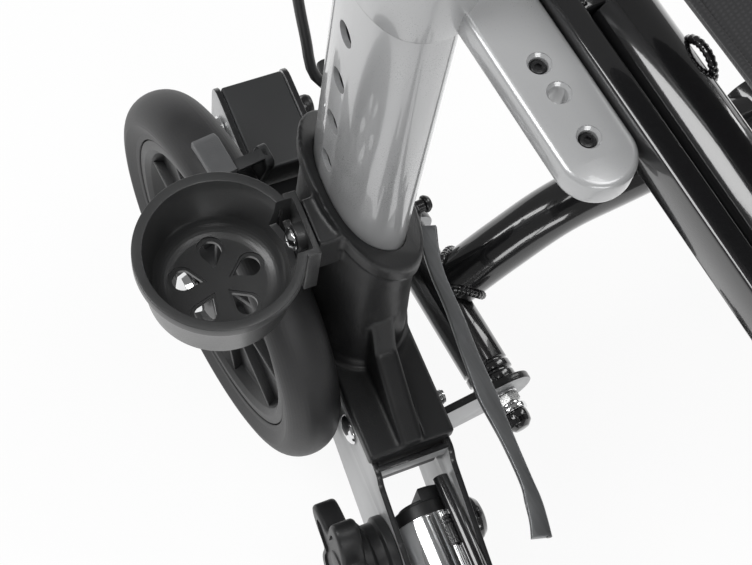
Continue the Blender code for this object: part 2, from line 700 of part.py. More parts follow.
def make_clamp_cap():
    """Domed round cap nut on the inboard flange."""
    face = FAR_OUTER + GAP
    profile = [(0, face + 0.0045), (BOLT_RADIUS + GAP, face + 0.0045), (BOLT_RADIUS + GAP, face),
               (0.0112, face),
               (0.0112, face + 0.0040), (0.0090, face + 0.0066), (0.0050, face + 0.0080), (0, face + 0.0084)]
    return moved(turned(profile, (0, *CLAMP_BOLT), (1, 0, 0), 16), SIDE)


def make_star_knob():
    """Five-lobed hand knob with its moulded-in stud, which crosses the flanges and the leg tube."""
    lobes = []
    for i in range(25):
        turn = 2 * pi * i / 25
        reach = 0.0270 + 0.0070 * cos(5 * turn)
        lobes.append((CLAMP_BOLT[0] + reach * cos(turn), CLAMP_BOLT[1] + reach * sin(turn)))
    star = side_plate(lobes, -0.0010, 0.0110)
    hub = turned([(0, -0.0005), (0.0185, -0.0005), (0.0185, 0.0150), (0.0160, 0.0165), (0.0160, 0.0215),
                  (0.0180, 0.0230), (0.0180, FLANGE_OUTER - GAP), (BOLT_RADIUS, FLANGE_OUTER - GAP),
                  (BOLT_RADIUS, FAR_OUTER + 0.0042),
                  (0, FAR_OUTER + 0.0042)], (0, *CLAMP_BOLT), (1, 0, 0), 16)
    return joined(star, moved(hub, SIDE))


def make_hinge_bolt():
    """Long bolt through the ears and the hinge tube, with nut, washer and black end cap at the front."""
    front = HINGE_TUBE_FRONT - LOOSE - EAR_PLATE - GAP
    rear = HINGE_TUBE_REAR + LOOSE + EAR_PLATE + GAP
    profile = [(0, front - 0.0205), (0.0040, front - 0.0200), (0.0068, front - 0.0170),
               (0.0070, front - 0.0110),
               (0.0084, front - 0.0108), (0.0084, front - 0.0090), (0.0060, front - 0.0080),
               (0.0060, front - 0.0050),
               (0.0078, front - 0.0048), (0.0078, front), (BOLT_RADIUS, front), (BOLT_RADIUS, rear),
               (0.0070, rear),
               (0.0070, rear + 0.0040), (0.0045, rear + 0.0065), (0, rear + 0.0070)]
    return turned(profile, (HINGE_X, 0, HINGE_Z), (0, 1, 0), 10)


def make_cross_link(side, y, pinned):
    """Hinge tube with its welded cross tube, which arches to the middle eye. The left link carries the pin."""
    x = side * -HINGE_X
    barrel = turned([(BOLT_RADIUS + GAP, HINGE_TUBE_FRONT), (HINGE_TUBE_RADIUS - 0.001, HINGE_TUBE_FRONT),
                     (HINGE_TUBE_RADIUS, HINGE_TUBE_FRONT + 0.001), (HINGE_TUBE_RADIUS, HINGE_TUBE_REAR),
                     (BOLT_RADIUS + GAP, HINGE_TUBE_REAR)],
                    (x, 0, HINGE_Z), (0, 1, 0), 18, closed=True)
    inboard = -side
    route = [(x + inboard * 0.0075, y, HINGE_Z + 0.005), (x + inboard * 0.035, y, HINGE_Z + 0.0245),
             (x + inboard * 0.066, y, HINGE_Z + 0.0405), (x + inboard * 0.105, y, BRACE_PIN_Z + 0.001),
             (0, y, BRACE_PIN_Z)]
    arm = tube(route, CROSS_TUBE_RADIUS, bevel_resolution=4, steps=2)
    eye_half = CROSS_TUBE_RADIUS
    eye = cylinder((0, y - eye_half, BRACE_PIN_Z), (0, y + eye_half, BRACE_PIN_Z), CROSS_TUBE_RADIUS + 0.0015,
                   segments=18)
    link = joined(barrel, arm, eye)
    bolt_hole = cylinder((x, HINGE_TUBE_FRONT - 0.01, HINGE_Z), (x, HINGE_TUBE_REAR + 0.01, HINGE_Z),
                         BOLT_RADIUS + GAP + 0.0001, segments=18)
    if pinned:
        far = CROSS_SPACING + CROSS_TUBE_RADIUS + LOOSE / 2
        pin = turned([(0, -eye_half - 0.003), (0.0080, -eye_half - 0.002), (0.0080, 0), (CROSS_PIN_RADIUS, 0),
                      (CROSS_PIN_RADIUS, far), (0.0085, far), (0.0085, far + 0.004), (0, far + 0.005)],
                     (0, y, BRACE_PIN_Z), (0, -1, 0), 14)
        return joined(cut(link, bolt_hole), pin)
    pin_hole = cylinder((0, y - 0.03, BRACE_PIN_Z), (0, y + 0.03, BRACE_PIN_Z), CROSS_PIN_RADIUS + GAP,
                        segments=16)
    return cut(link, pin_hole, bolt_hole)


def make_seat_rail():
    """Round rail that the seat turns on, held at both ends by lugs on a flat side bar."""
    rail = cylinder((HINGE_X, RAIL_FRONT, SEAT_HINGE_Z), (HINGE_X, RAIL_REAR, SEAT_HINGE_Z), RAIL_RADIUS,
                    segments=20)
    bar_outer = ARM_X + ARM_RADIUS + GAP
    bar_inner = HINGE_X - RAIL_RADIUS - SLEEVE_WALL - GAP - LOOSE
    bar = box((bar_outer, RAIL_FRONT, SEAT_HINGE_Z - RAIL_RADIUS),
              (bar_inner, RAIL_REAR, SEAT_HINGE_Z + RAIL_RADIUS))
    lugs = []
    for low, high in ((RAIL_FRONT, SLEEVE_FRONT - LOOSE), (SLEEVE_REAR + LOOSE, RAIL_REAR)):
        lugs.append(box((bar_inner - 0.002, low, SEAT_HINGE_Z - RAIL_RADIUS * 0.8),
                        (HINGE_X, high, SEAT_HINGE_Z + RAIL_RADIUS * 0.8)))
    return joined(bar, rail, *lugs)


def make_seat_link(side, offset, pinned):
    """Sleeve on the rail with two arched bars to the middle eyes. The left link carries the pin."""
    x = side * -HINGE_X
    inboard = -side
    bore = RAIL_RADIUS + GAP
    outer = bore + SLEEVE_WALL
    sleeve = turned([(bore, SLEEVE_FRONT), (outer, SLEEVE_FRONT), (outer, SLEEVE_REAR), (bore, SLEEVE_REAR)],
                    (x, 0, SEAT_HINGE_Z), (0, 1, 0), 18, closed=True)
    pieces = [sleeve]
    for y in SEAT_BAR_YS:
        y = y + offset
        route = [(x + inboard * 0.0115, y, SEAT_HINGE_Z + 0.0045),
                 (x + inboard * 0.040, y, SEAT_HINGE_Z + 0.027),
                 (x + inboard * 0.085, y, SEAT_PIN_Z - 0.002), (0, y, SEAT_PIN_Z)]
        pieces.append(tube(route, SEAT_BAR_RADIUS, bevel_resolution=3, steps=2))
        pieces.append(cylinder((0, y - SEAT_BAR_RADIUS, SEAT_PIN_Z), (0, y + SEAT_BAR_RADIUS, SEAT_PIN_Z),
                               SEAT_BAR_RADIUS + 0.0001, segments=14))
    if pinned:
        rear_end = SEAT_BAR_YS[0] + SEAT_BAR_SPACING + 0.012
        pieces.append(cylinder((0, SEAT_BAR_YS[1] - 0.010, SEAT_PIN_Z), (0, rear_end, SEAT_PIN_Z),
                               SEAT_PIN_RADIUS, segments=12))
        return joined(*pieces)
    link = joined(*pieces)
    pin_hole = cylinder((0, -0.12, SEAT_PIN_Z), (0, 0.16, SEAT_PIN_Z), SEAT_PIN_RADIUS + GAP, segments=12)
    return cut(link, pin_hole)


def pad_outline(inset):
    """Rounded rectangle of the left seat pad, with its sides drawn in between the corners."""
    half_x = (-PAD_MIDDLE_GAP - PAD_SIDE) / 2 - inset
    half_y = (PAD_REAR - PAD_FRONT) / 2 - inset
    middle_x = (PAD_SIDE - PAD_MIDDLE_GAP) / 2
    middle_y = (PAD_FRONT + PAD_REAR) / 2
    corner = max(PAD_CORNER - inset / 2, 0.006)
    points = []
    for turn, sign_x, sign_y in ((0, 1, 1), (90, -1, 1), (180, -1, -1), (270, 1, -1)):
        centre_x, centre_y = sign_x * (half_x - corner), sign_y * (half_y - corner)
        for step in range(5):
            angle = radians(turn + 22.5 * step)
            points.append((centre_x + corner * cos(angle), centre_y + corner * sin(angle)))
        last = points[-1]
        if turn in (0, 180):
            points += [(last[0] * share, last[1]) for share in (0.5, 0.0, -0.5)]
        else:
            points += [(last[0], last[1] * share) for share in (0.5, 0.0, -0.5)]
    outline = []
    for x, y in points:
        pull_x = 1 - PAD_DRAW / half_x * (1 - min(1, abs(y) / half_y) ** 2)
        pull_y = 1 - PAD_DRAW / half_y * (1 - min(1, abs(x) / half_x) ** 2)
        outline.append((middle_x + x * pull_x, middle_y + y * pull_y))
    return outline


def make_seat_pad():
    """Left half of the padded seat: flat below, crowned above, with rounded edges."""
    bottom = SEAT_PIN_Z + SEAT_BAR_RADIUS + 2 * GAP
    side_top = bottom + PAD_THICKNESS - PAD_CROWN
    sections = [(bottom, 0.0050), (bottom + 0.003, 0.0010), (bottom + 0.006, 0.0), (side_top - 0.004, 0.0008),
                (side_top, 0.0045), (side_top + 0.35 * PAD_CROWN, 0.0160),
                (side_top + 0.75 * PAD_CROWN, 0.0420), (side_top + PAD_CROWN, 0.0800)]
    return loft([(height, pad_outline(inset)) for height, inset in sections])


def make_seat_arm():
    """Silver arm: an oval clamp collar round the column and a flat bar forward, with three screw holes."""
    x, y = COLUMN_ACROSS, -COLUMN_FORWARD
    low, high = ARM_TOP - ARM_THICKNESS, ARM_TOP + 0.016
    collar = plate(oval(x, y, COLUMN_HALF[0] + 0.0040, COLUMN_HALF[1] + 0.0040), low, high, SIDE,
                   holes=[oval(x, y, COLUMN_HALF[0] + GAP, COLUMN_HALF[1] + GAP)])
    tip = [(ARM_X + ARM_RADIUS * cos(-pi * i / 10),
            ARM_TIP_Y + ARM_RADIUS * sin(-pi * i / 10)) for i in range(11)]
    bar = plate([(ARM_X - ARM_RADIUS, 0.1525), (ARM_X + ARM_RADIUS, 0.1600)] + tip,
                ARM_TOP - ARM_THICKNESS, ARM_TOP)
    for hole in ARM_HOLES:
        bar = cut(bar, cylinder((ARM_X, hole, ARM_TOP - 0.0030), (ARM_X, hole, ARM_TOP + 0.01),
                                ARM_HOLE_RADIUS,
                                segments=10))
    pocket = plate(oval(x, y, COLUMN_HALF[0] + GAP, COLUMN_HALF[1] + GAP), low - 0.01, high + 0.01, SIDE)
    return joined(collar, cut(bar, pocket))


def make_strut():
    """Silver strut from the top of the caster head up and back to the seat rail's front end."""
    top = Vector(((ARM_X + ARM_RADIUS + HINGE_X - RAIL_RADIUS) / 2, RAIL_FRONT + 0.022,
                  SEAT_HINGE_Z - RAIL_RADIUS - GAP))
    foot = Vector((HEAD_AXIS.x, HEAD_AXIS.y, HEAD_TOP - 0.003))
    rise = Vector((0, 0, 1))
    return rod(bent([foot, foot + rise * 0.030, top - rise * 0.030, top], (0.030, 0.030), 3), 0.0095, 3)


def make_caster_head():
    """Vertical bearing housing with the sleeve for the leg tube, and the strut welded on top."""
    head = turned([(0, HEAD_TOP), (HEAD_RADIUS - 0.002, HEAD_TOP), (HEAD_RADIUS, HEAD_TOP - 0.002),
                   (HEAD_RADIUS, HEAD_BOTTOM + 0.001), (HEAD_RADIUS - 0.001, HEAD_BOTTOM), (0, HEAD_BOTTOM)],
                  (HEAD_AXIS.x, HEAD_AXIS.y, 0), (0, 0, 1), 18)
    sleeve = cylinder(in_side(BRACKET_MIDDLE, -HEAD_FORWARD, LEG_TOP_HEIGHT),
                      in_side(BRACKET_MIDDLE, -HEAD_FORWARD + 0.040, LEG_TOP_HEIGHT),
                      LEG_RADIUS + 0.0035, segments=14)
    socket = cylinder(in_side(BRACKET_MIDDLE, -HEAD_FORWARD + HEAD_RADIUS - 0.002, LEG_TOP_HEIGHT),
                      in_side(BRACKET_MIDDLE, -HEAD_FORWARD + 0.060, LEG_TOP_HEIGHT),
                      LEG_RADIUS + GAP + 0.0004, segments=14)
    bearing = cylinder((HEAD_AXIS.x, HEAD_AXIS.y, HEAD_BOTTOM - 0.01),
                       (HEAD_AXIS.x, HEAD_AXIS.y, HEAD_TOP - 0.0075), STEM_RADIUS + GAP + 0.0002, segments=16)
    return joined(cut(joined(head, sleeve), socket, bearing), make_strut())


def make_caster_fork():
    """Fork with crown, stem, two legs and the wheel's axle."""
    x, y = HEAD_AXIS.x, HEAD_AXIS.y
    crown_top = HEAD_BOTTOM - LOOSE
    crown_bottom = 2 * CASTER_RADIUS + CROWN_OVER_WHEEL
    stem = turned([(0, HEAD_TOP - 0.008), (STEM_RADIUS, HEAD_TOP - 0.009), (STEM_RADIUS, crown_top),
                   (0.021, crown_top), (0.024, crown_top - 0.004), (0.024, crown_bottom), (0, crown_bottom)],
                  (x, y, 0), (0, 0, 1), 14)
    eye = [(y + CASTER_TRAIL + 0.0145 * cos(pi * i / 8), CASTER_RADIUS - 0.0145 * sin(pi * i / 8))
           for i in range(9)]
    leg_outline = [(y + 0.022, crown_top - 0.004), (y - 0.022, crown_top - 0.004),
                   (y - 0.022, crown_bottom - 0.006), *eye[::-1], (y + 0.034, crown_bottom - 0.010)]
    legs = [along_plate(leg_outline, x - FORK_OUTER, x - FORK_INNER),
            along_plate(leg_outline, x + FORK_INNER, x + FORK_OUTER)]
    axle = turned([(0, -FORK_OUTER - 0.003), (0.0065, -FORK_OUTER - 0.002), (0.0065, -FORK_INNER - 0.001),
                   (BOLT_RADIUS, -FORK_INNER - 0.001), (BOLT_RADIUS, FORK_INNER + 0.001),
                   (0.0065, FORK_INNER + 0.001),
                   (0.0065, FORK_OUTER + 0.002), (0, FORK_OUTER + 0.003)], CASTER_AXLE, (1, 0, 0), 12)
    crown = box((x - FORK_OUTER, y - 0.022, crown_bottom), (x + FORK_OUTER, y + 0.022, crown_top - 0.004))
    return joined(stem, crown, *legs, axle)


def make_brake_shoe():
    """Brake shoe over the tread on an upright arm that turns on a pin in the bracket."""
    arm_x = REAR_WHEEL_X + 0.0195
    arm = along_plate([(BRAKE_PIVOT_Y - 0.009, BRAKE_PIVOT_Z - 0.008),
                       (BRAKE_PIVOT_Y + 0.009, BRAKE_PIVOT_Z - 0.008),
                       (BRAKE_PIVOT_Y + 0.008, BRAKE_PIVOT_Z + 0.020), (0.2400, 0.1550), (0.2250, 0.2060),
                       (0.2130, 0.2060), (0.2280, 0.1500)],
                      arm_x - 0.0020, arm_x + 0.0020)
    reach = WHEEL_RADIUS + 0.0030
    under = []
    for angle in (75.5, 80, 84.5, 89):
        under.append((REAR_WHEEL_Y + reach * cos(radians(angle)), WHEEL_RADIUS + reach * sin(radians(angle))))
    top = [(under[-1][0], 0.2085), (under[0][0] - 0.004, 0.2075), (under[0][0], 0.2045)]
    shoe = along_plate(under + top, REAR_WHEEL_X - 0.0085, REAR_WHEEL_X + 0.0035)
    tie = box((REAR_WHEEL_X + 0.0025, 0.2170, 0.2032), (arm_x + 0.0010, 0.2230, 0.2060))
    flange_x = REAR_WHEEL_X + (FLANGE_OUTER + sin(SPLAY) * (BRAKE_PIVOT_Y - REAR_WHEEL_Y)) / cos(SPLAY)
    pin = cylinder((arm_x - 0.0030, BRAKE_PIVOT_Y, BRAKE_PIVOT_Z),
                   (flange_x - LOOSE, BRAKE_PIVOT_Y, BRAKE_PIVOT_Z), 0.0050)
    return joined(arm, shoe, tie, pin)


def make_brake_cable():
    """Brake cable from the lever bracket, bowed behind the column and into its rear side."""
    x, y = COLUMN_AXIS.x, COLUMN_AXIS.y
    route = [in_side(COLUMN_ACROSS, -COLUMN_FORWARD + COLUMN_HALF[1] - 0.0035, CABLE_ENTRY_Z),
             in_side(COLUMN_ACROSS, -COLUMN_FORWARD + COLUMN_HALF[1] + 0.004, CABLE_ENTRY_Z + 0.001),
             Vector((x - 0.0048, y + 0.0400, 0.2640)), Vector((x - 0.0062, y + 0.0470, 0.2830)),
             Vector((x - 0.0068, y + 0.0565, 0.3060)), Vector((x - 0.0065, y + 0.0720, 0.350)),
             Vector((x - 0.0050, y + 0.0860, 0.420)), Vector((x - 0.0020, y + 0.0920, 0.520)),
             Vector((x, y + 0.0900, 0.640)), Vector((x, y + 0.0780, HANDLE_HEIGHT - 0.152)),
             Vector((x, y + 0.0640, HANDLE_HEIGHT - 0.092)),
             Vector((x, LEVER_AXIS.y - 0.0015, HANDLE_HEIGHT - 0.0525))]
    return rod(even_route(route, 6 * CABLE_RADIUS), CABLE_RADIUS, 2)


def make_handle_post():
    """Oval post that slides in the column, with the round handle tube on top, bent to the rear."""
    x, y = COLUMN_ACROSS, -COLUMN_FORWARD
    half = (COLUMN_HALF[0] - COLUMN_WALL - GAP, COLUMN_HALF[1] - COLUMN_WALL - GAP)
    shaft = loft([(POST_FOOT, oval(x, y, *half)), (POST_TOP - 0.016, oval(x, y, *half)),
                  (POST_TOP, oval(x, y, half[0] * 0.82, half[1] * 0.60))])
    cx, cy = COLUMN_AXIS.x, COLUMN_AXIS.y
    bar = rod(bent([Vector((cx, cy, POST_TOP - 0.020)), Vector((cx, cy, HANDLE_HEIGHT)),
                    Vector((cx, HANDLE_REACH, HANDLE_HEIGHT))], (0.044,), 5), HANDLE_TUBE_RADIUS, 4)
    return joined(moved(shaft, SIDE), bar)


def make_grip():
    """Soft hand grip, a closed sleeve over the end of the handle tube."""
    bore = HANDLE_TUBE_RADIUS + GAP + 0.0003
    end = HANDLE_REACH + 0.006
    profile = [(0, HANDLE_REACH + GAP), (bore, HANDLE_REACH + GAP), (bore, GRIP_START),
               (GRIP_RADIUS + 0.0025, GRIP_START), (GRIP_RADIUS + 0.0030, GRIP_START + 0.004),
               (GRIP_RADIUS, GRIP_START + 0.009), (GRIP_RADIUS - 0.0010, (GRIP_START + end) / 2),
               (GRIP_RADIUS, end - 0.024), (GRIP_RADIUS + 0.0015, end - 0.008),
               (GRIP_RADIUS - 0.0015, end - 0.001),
               (0.0110, end + 0.002), (0, end + 0.0025)]
    return turned(profile, (COLUMN_AXIS.x, 0, HANDLE_HEIGHT), (0, 1, 0), 14)


LEVER_AXIS = Vector((COLUMN_AXIS.x, 0.2420, HANDLE_HEIGHT - 0.0340))


def make_brake_bracket():
    """Clamp ring on the handle tube with the lug that the brake lever turns in."""
    x = COLUMN_AXIS.x
    ring = turned([(0, 0.2280), (HANDLE_TUBE_RADIUS + 0.0060, 0.2280), (HANDLE_TUBE_RADIUS + 0.0065, 0.2295),
                   (HANDLE_TUBE_RADIUS + 0.0065, 0.2555), (HANDLE_TUBE_RADIUS + 0.0060, 0.2570), (0, 0.2570)],
                  (x, 0, HANDLE_HEIGHT), (0, 1, 0), 16)
    lug = along_plate([(0.2310, HANDLE_HEIGHT - 0.008), (0.2310, LEVER_AXIS.z - 0.004),
                       (0.2350, LEVER_AXIS.z - 0.010),
                       (0.2460, LEVER_AXIS.z - 0.010), (0.2510, LEVER_AXIS.z - 0.004),
                       (0.2540, HANDLE_HEIGHT - 0.008)],
                      x - 0.0060, x + 0.0060)
    bore = cylinder((x, 0.20, HANDLE_HEIGHT), (x, 0.28, HANDLE_HEIGHT), HANDLE_TUBE_RADIUS + GAP + 0.0002,
                    segments=14)
    pin_hole = cylinder(LEVER_AXIS - Vector((0.02, 0, 0)), LEVER_AXIS + Vector((0.02, 0, 0)), 0.0028,
                        segments=14)
    return cut(joined(ring, lug), bore, pin_hole)


def make_brake_lever():
    """Brake lever: two cheeks with their pin, and a blade that runs back under the grip."""
    x, y, z = LEVER_AXIS
    cheek = [(y - 0.0065, z - 0.0050), (y - 0.0065, z + 0.0050), (y + 0.004, z + 0.0065),
             (y + 0.024, z - 0.001),
             (y + 0.024, z - 0.011), (y + 0.004, z - 0.0075)]
    cheeks = [along_plate(cheek, x - 0.0103, x - 0.0065), along_plate(cheek, x + 0.0065, x + 0.0103)]
    blade = along_plate([(y + 0.017, z + 0.0010), (y + 0.030, z - 0.0045), (y + 0.060, z - 0.0110),
                         (y + 0.100, z - 0.0120), (y + 0.128, z - 0.0060), (y + 0.131, z - 0.0100),
                         (y + 0.128, z - 0.0145), (y + 0.100, z - 0.0185), (y + 0.058, z - 0.0175),
                         (y + 0.026, z - 0.0120), (y + 0.017, z - 0.0090)], x - 0.0103, x + 0.0103)
    pin = cylinder((x - 0.0100, y, z), (x + 0.0100, y, z), 0.0025, segments=14)
    return joined(blade, *cheeks, pin)


def make_cup():
    """Cane cup: rim flange, drafted wall, floor with five drops, and the flat tab to the housing."""
    inner_rim = CUP_RIM_RADIUS - CUP_RIM_WIDTH
    floor = CUP_TOP - CUP_DEPTH
    profile = [(0, floor), (CUP_FLOOR_RADIUS, floor), (CUP_FLOOR_RADIUS + 0.0020, floor + 0.002),
               (inner_rim + 0.0022, CUP_TOP - 0.009), (CUP_RIM_RADIUS - 0.0008, CUP_TOP - 0.0075),
               (CUP_RIM_RADIUS, CUP_TOP - 0.0055), (CUP_RIM_RADIUS, CUP_TOP - 0.001),
               (CUP_RIM_RADIUS - 0.001, CUP_TOP),
               (inner_rim + 0.001, CUP_TOP), (inner_rim, CUP_TOP - 0.001),
               (inner_rim - 0.0003, CUP_TOP - 0.009),
               (CUP_FLOOR_RADIUS - 0.0015, floor + CUP_FLOOR + 0.002),
               (CUP_FLOOR_RADIUS - 0.004, floor + CUP_FLOOR),
               (0, floor + CUP_FLOOR + 0.001)]
    cup = turned(profile, (CUP_ACROSS, -CUP_FORWARD, 0), (0, 0, 1), 20)
    tab_outer = CUP_ACROSS + CUP_RIM_RADIUS + 0.0029
    tab = box((CUP_ACROSS + inner_rim + 0.0012, -0.0625, CUP_TOP - 0.034),
              (tab_outer, -0.0310, CUP_TOP - 0.0005))
    boss = cylinder((CUP_SCREW_SEAT, *CUP_SCREW), (tab_outer - 0.002, *CUP_SCREW), 0.0062)
    cup = joined(cup, tab, boss)
    drop_half, drop_inner, drop_outer = 0.0048, 0.0070, 0.0205
    for number in range(CUP_DROPS):
        turn = 2 * pi * number / CUP_DROPS + radians(12)
        centre = drop_outer - drop_half
        arc = [(centre + drop_half * cos(radians(angle)), drop_half * sin(radians(angle)))
               for angle in range(-100, 101, 50)]
        outline = [(u * cos(turn) - v * sin(turn) + CUP_ACROSS, u * sin(turn) + v * cos(turn) - CUP_FORWARD)
                   for u, v in arc + [(drop_inner, 0)]]
        cup = cut(cup, plate(outline, floor - 0.01, floor + 0.01))
    hole = cylinder((CUP_SCREW_SEAT - 0.005, *CUP_SCREW), (0.03, *CUP_SCREW), 0.0029, segments=12)
    recess = cylinder((0.0010, *CUP_SCREW), (CUP_SCREW_SEAT, *CUP_SCREW), 0.0060, segments=20)
    return moved(cut(cup, hole, recess), SIDE)


def make_lever():
    """Flat curved blade of the fold lock lever, with its pivot eye at the rear."""
    pivot_x, pivot_y = LEVER_PIVOT
    route = [Vector((*point, 0)) for point in LEVER_ROUTE]
    left, right = [], []
    for i, point in enumerate(route):
        along = (route[min(i + 1, len(route) - 1)] - route[max(i - 1, 0)]).normalized()
        out = Vector((along.y, -along.x, 0)) * LEVER_HALF_WIDTHS[i]
        left.append((point + out)[:2])
        right.append((point - out)[:2])
    blade = plate(left + right[::-1], LEVER_Z - LEVER_THICKNESS / 2, LEVER_Z + LEVER_THICKNESS / 2)
    eye = cylinder((pivot_x - LEVER_EYE_HALF, pivot_y, LEVER_Z), (pivot_x + LEVER_EYE_HALF, pivot_y, LEVER_Z),
                   0.0062,
                   segments=18)
    neck = box((pivot_x - LEVER_EYE_HALF, pivot_y - 0.0140, LEVER_Z - 0.0020),
               (pivot_x + LEVER_EYE_HALF, pivot_y, LEVER_Z + 0.0020))
    bore = cylinder((pivot_x - 0.03, pivot_y, LEVER_Z), (pivot_x + 0.03, pivot_y, LEVER_Z), 0.0032 + GAP,
                    segments=14)
    return cut(joined(blade, neck, eye), bore)


def make_backrest():
    """Padded band, bowed forward between the two columns."""
    start = in_side(COLUMN_ACROSS, -COLUMN_FORWARD - COLUMN_HALF[1] - 2 * GAP, 0)
    reach, depth = -start.x, start.y - BACKREST_FRONT
    middle = []
    steps = 18
    for i in range(steps + 1):
        turn = pi * i / (2 * steps)
        middle.append(Vector((-reach * cos(turn) ** 0.75,
                              start.y - depth * sin(turn) ** 0.75 if i else start.y)))
    middle += [Vector((-p.x, p.y)) for p in middle[-2::-1]]
    rings = []
    bm = bmesh.new()
    for i, point in enumerate(middle):
        along = middle[min(i + 1, len(middle) - 1)] - middle[max(i - 1, 0)]
        if i in (0, len(middle) - 1):
            along = Vector((0, -1)) if i == 0 else Vector((0, 1))
        out = Vector((along.y, -along.x)).normalized()
        near_end = min(i, len(middle) - 1 - i)
        half_thickness = BACKREST_THICKNESS / 2 * min(1, 0.45 + 0.25 * near_end)
        ring = []
        middle_z = BACKREST_Z + BACKREST_HEIGHT / 2
        for across, up in oval(0, middle_z, half_thickness, BACKREST_HEIGHT / 2, 12, 3.0):
            ring.append(bm.verts.new((point.x + out.x * across, point.y + out.y * across, up)))
        rings.append([bm.edges.new((ring[k], ring[(k + 1) % len(ring)])) for k in range(len(ring))])
    for before, after in zip(rings, rings[1:]):
        bmesh.ops.bridge_loops(bm, edges=before + after)
    bmesh.ops.holes_fill(bm, edges=rings[0] + rings[-1], sides=0)
    bmesh.ops.recalc_face_normals(bm, faces=bm.faces)
    return object_from_bmesh(bm)


def build():
    frame = empty("left_frame", (REAR_WHEEL_X, REAR_WHEEL_Y, 0))
    right = empty("right_frame", (-REAR_WHEEL_X, REAR_WHEEL_Y, 0))

    def both(obj, name, material, carrier, other):
        left_piece = piece(obj, "left_" + name, material, carrier)
        mirror_piece(left_piece, "right_" + name, other)
        return left_piece

    plain_bracket = piece(make_bracket(False), "plain_bracket", PALE_STEEL, frame)
    mirror_piece(plain_bracket, "right_wheel_bracket", right)
    bpy.data.objects.remove(plain_bracket)
    piece(make_bracket(True), "left_wheel_bracket", PALE_STEEL, frame)
    both(make_rear_block(), "rear_block", BLACK_PLASTIC, frame, right)
    both(make_housing(), "socket_housing", BLACK_PLASTIC, frame, right)
    both(make_column(), "column", SILVER_PAINT, frame, right)
    both(make_axle(), "rear_axle", CHROME, frame, right)
    both(side_bolt(REAR_BOLT, 0.0195, FAR_OUTER + 0.0100, 0.0085), "rear_bolt", CHROME, frame, right)
    both(side_bolt(FRONT_BOLT, 0.0256, FAR_OUTER + 0.0100, 0.0070), "front_bolt", CHROME, frame, right)
    both(make_leg_tube(), "leg_tube", CHROME, frame, right)
    both(make_tube_plug(), "tube_plug", BLACK_PLASTIC, frame, right)
    both(make_clamp_cap(), "clamp_cap", BLACK_PAINT, frame, right)
    both(make_hinge_bolt(), "hinge_bolt", CHROME, frame, right)
    both(make_seat_arm(), "seat_arm", SILVER_PAINT, frame, right)
    both(make_seat_rail(), "seat_rail", BLACK_PAINT, frame, right)
    both(make_caster_head(), "head_and_strut", SILVER_PAINT, frame, right)
    both(make_brake_cable(), "brake_cable", BLACK_PLASTIC, frame, right)
    piece(make_cup(), "cane_cup", BLACK_PLASTIC, frame)
    piece(make_cup_screw(), "cup_screw", CHROME, frame)
    piece(make_backrest(), "backrest", FABRIC, frame)

    wheel = empty("left_rear_wheel", REAR_AXLE, frame)
    right_wheel = empty("right_rear_wheel", (-REAR_WHEEL_X, REAR_WHEEL_Y, WHEEL_RADIUS), right)
    at_wheel = Matrix.Translation(REAR_AXLE)
    both(moved(make_tyre(WHEEL_RADIUS, TYRE_WIDTH, TYRE_DEPTH, 28), at_wheel), "rear_tyre", RUBBER, wheel,
         right_wheel)
    rim = make_rim(WHEEL_RADIUS - TYRE_DEPTH - GAP, 0.0165, AXLE_RADIUS + GAP + 0.0002, 28)
    both(moved(rim, at_wheel), "rear_rim", BLACK_PLASTIC, wheel, right_wheel)

    knob_place = in_side(0, *CLAMP_BOLT)
    knob = empty("left_star_knob_axis", knob_place, frame)
    right_knob = empty("right_star_knob_axis", (-knob_place.x, knob_place.y, knob_place.z), right)
    both(make_star_knob(), "star_knob", BLACK_PLASTIC, knob, right_knob)

    swivel = empty("left_caster", (HEAD_AXIS.x, HEAD_AXIS.y, 0), frame)
    right_swivel = empty("right_caster", (-HEAD_AXIS.x, HEAD_AXIS.y, 0), right)
    both(make_caster_fork(), "caster_fork", BLACK_PAINT, swivel, right_swivel)
    roll = empty("left_caster_roll", CASTER_AXLE, swivel)
    right_roll = empty("right_caster_roll", (-CASTER_AXLE.x, CASTER_AXLE.y, CASTER_AXLE.z), right_swivel)
    caster = joined(make_tyre(CASTER_RADIUS, CASTER_WIDTH, 0.018, 26),
                    make_rim(CASTER_RADIUS - 0.0165, CASTER_WIDTH / 2, BOLT_RADIUS + GAP + 0.0002, 18))
    both(moved(caster, Matrix.Translation(CASTER_AXLE)), "caster_wheel", RUBBER, roll, right_roll)

    shoe_place = (REAR_WHEEL_X, BRAKE_PIVOT_Y, BRAKE_PIVOT_Z)
    shoe = empty("left_brake_pivot", shoe_place, frame)
    right_shoe = empty("right_brake_pivot", (-shoe_place[0], *shoe_place[1:]), right)
    both(make_brake_shoe(), "brake_shoe", GREY_PLASTIC, shoe, right_shoe)

    handle = empty("left_handle", (COLUMN_AXIS.x, COLUMN_AXIS.y, COLUMN_TOP), frame)
    right_handle = empty("right_handle", (-COLUMN_AXIS.x, COLUMN_AXIS.y, COLUMN_TOP), right)
    both(make_handle_post(), "handle_post", SILVER_PAINT, handle, right_handle)
    both(make_grip(), "hand_grip", RUBBER, handle, right_handle)
    both(make_brake_bracket(), "brake_bracket", BLACK_PLASTIC, handle, right_handle)
    lever = empty("left_brake_lever_axis", LEVER_AXIS, handle)
    right_lever = empty("right_brake_lever_axis", (-LEVER_AXIS.x, LEVER_AXIS.y, LEVER_AXIS.z), right_handle)
    both(make_brake_lever(), "brake_lever", BLACK_PLASTIC, lever, right_lever)

    lock = empty("lock_lever_axis", (LEVER_PIVOT[0], LEVER_PIVOT[1], LEVER_Z), frame)
    piece(make_lever(), "lock_lever", GREY_STEEL, lock)

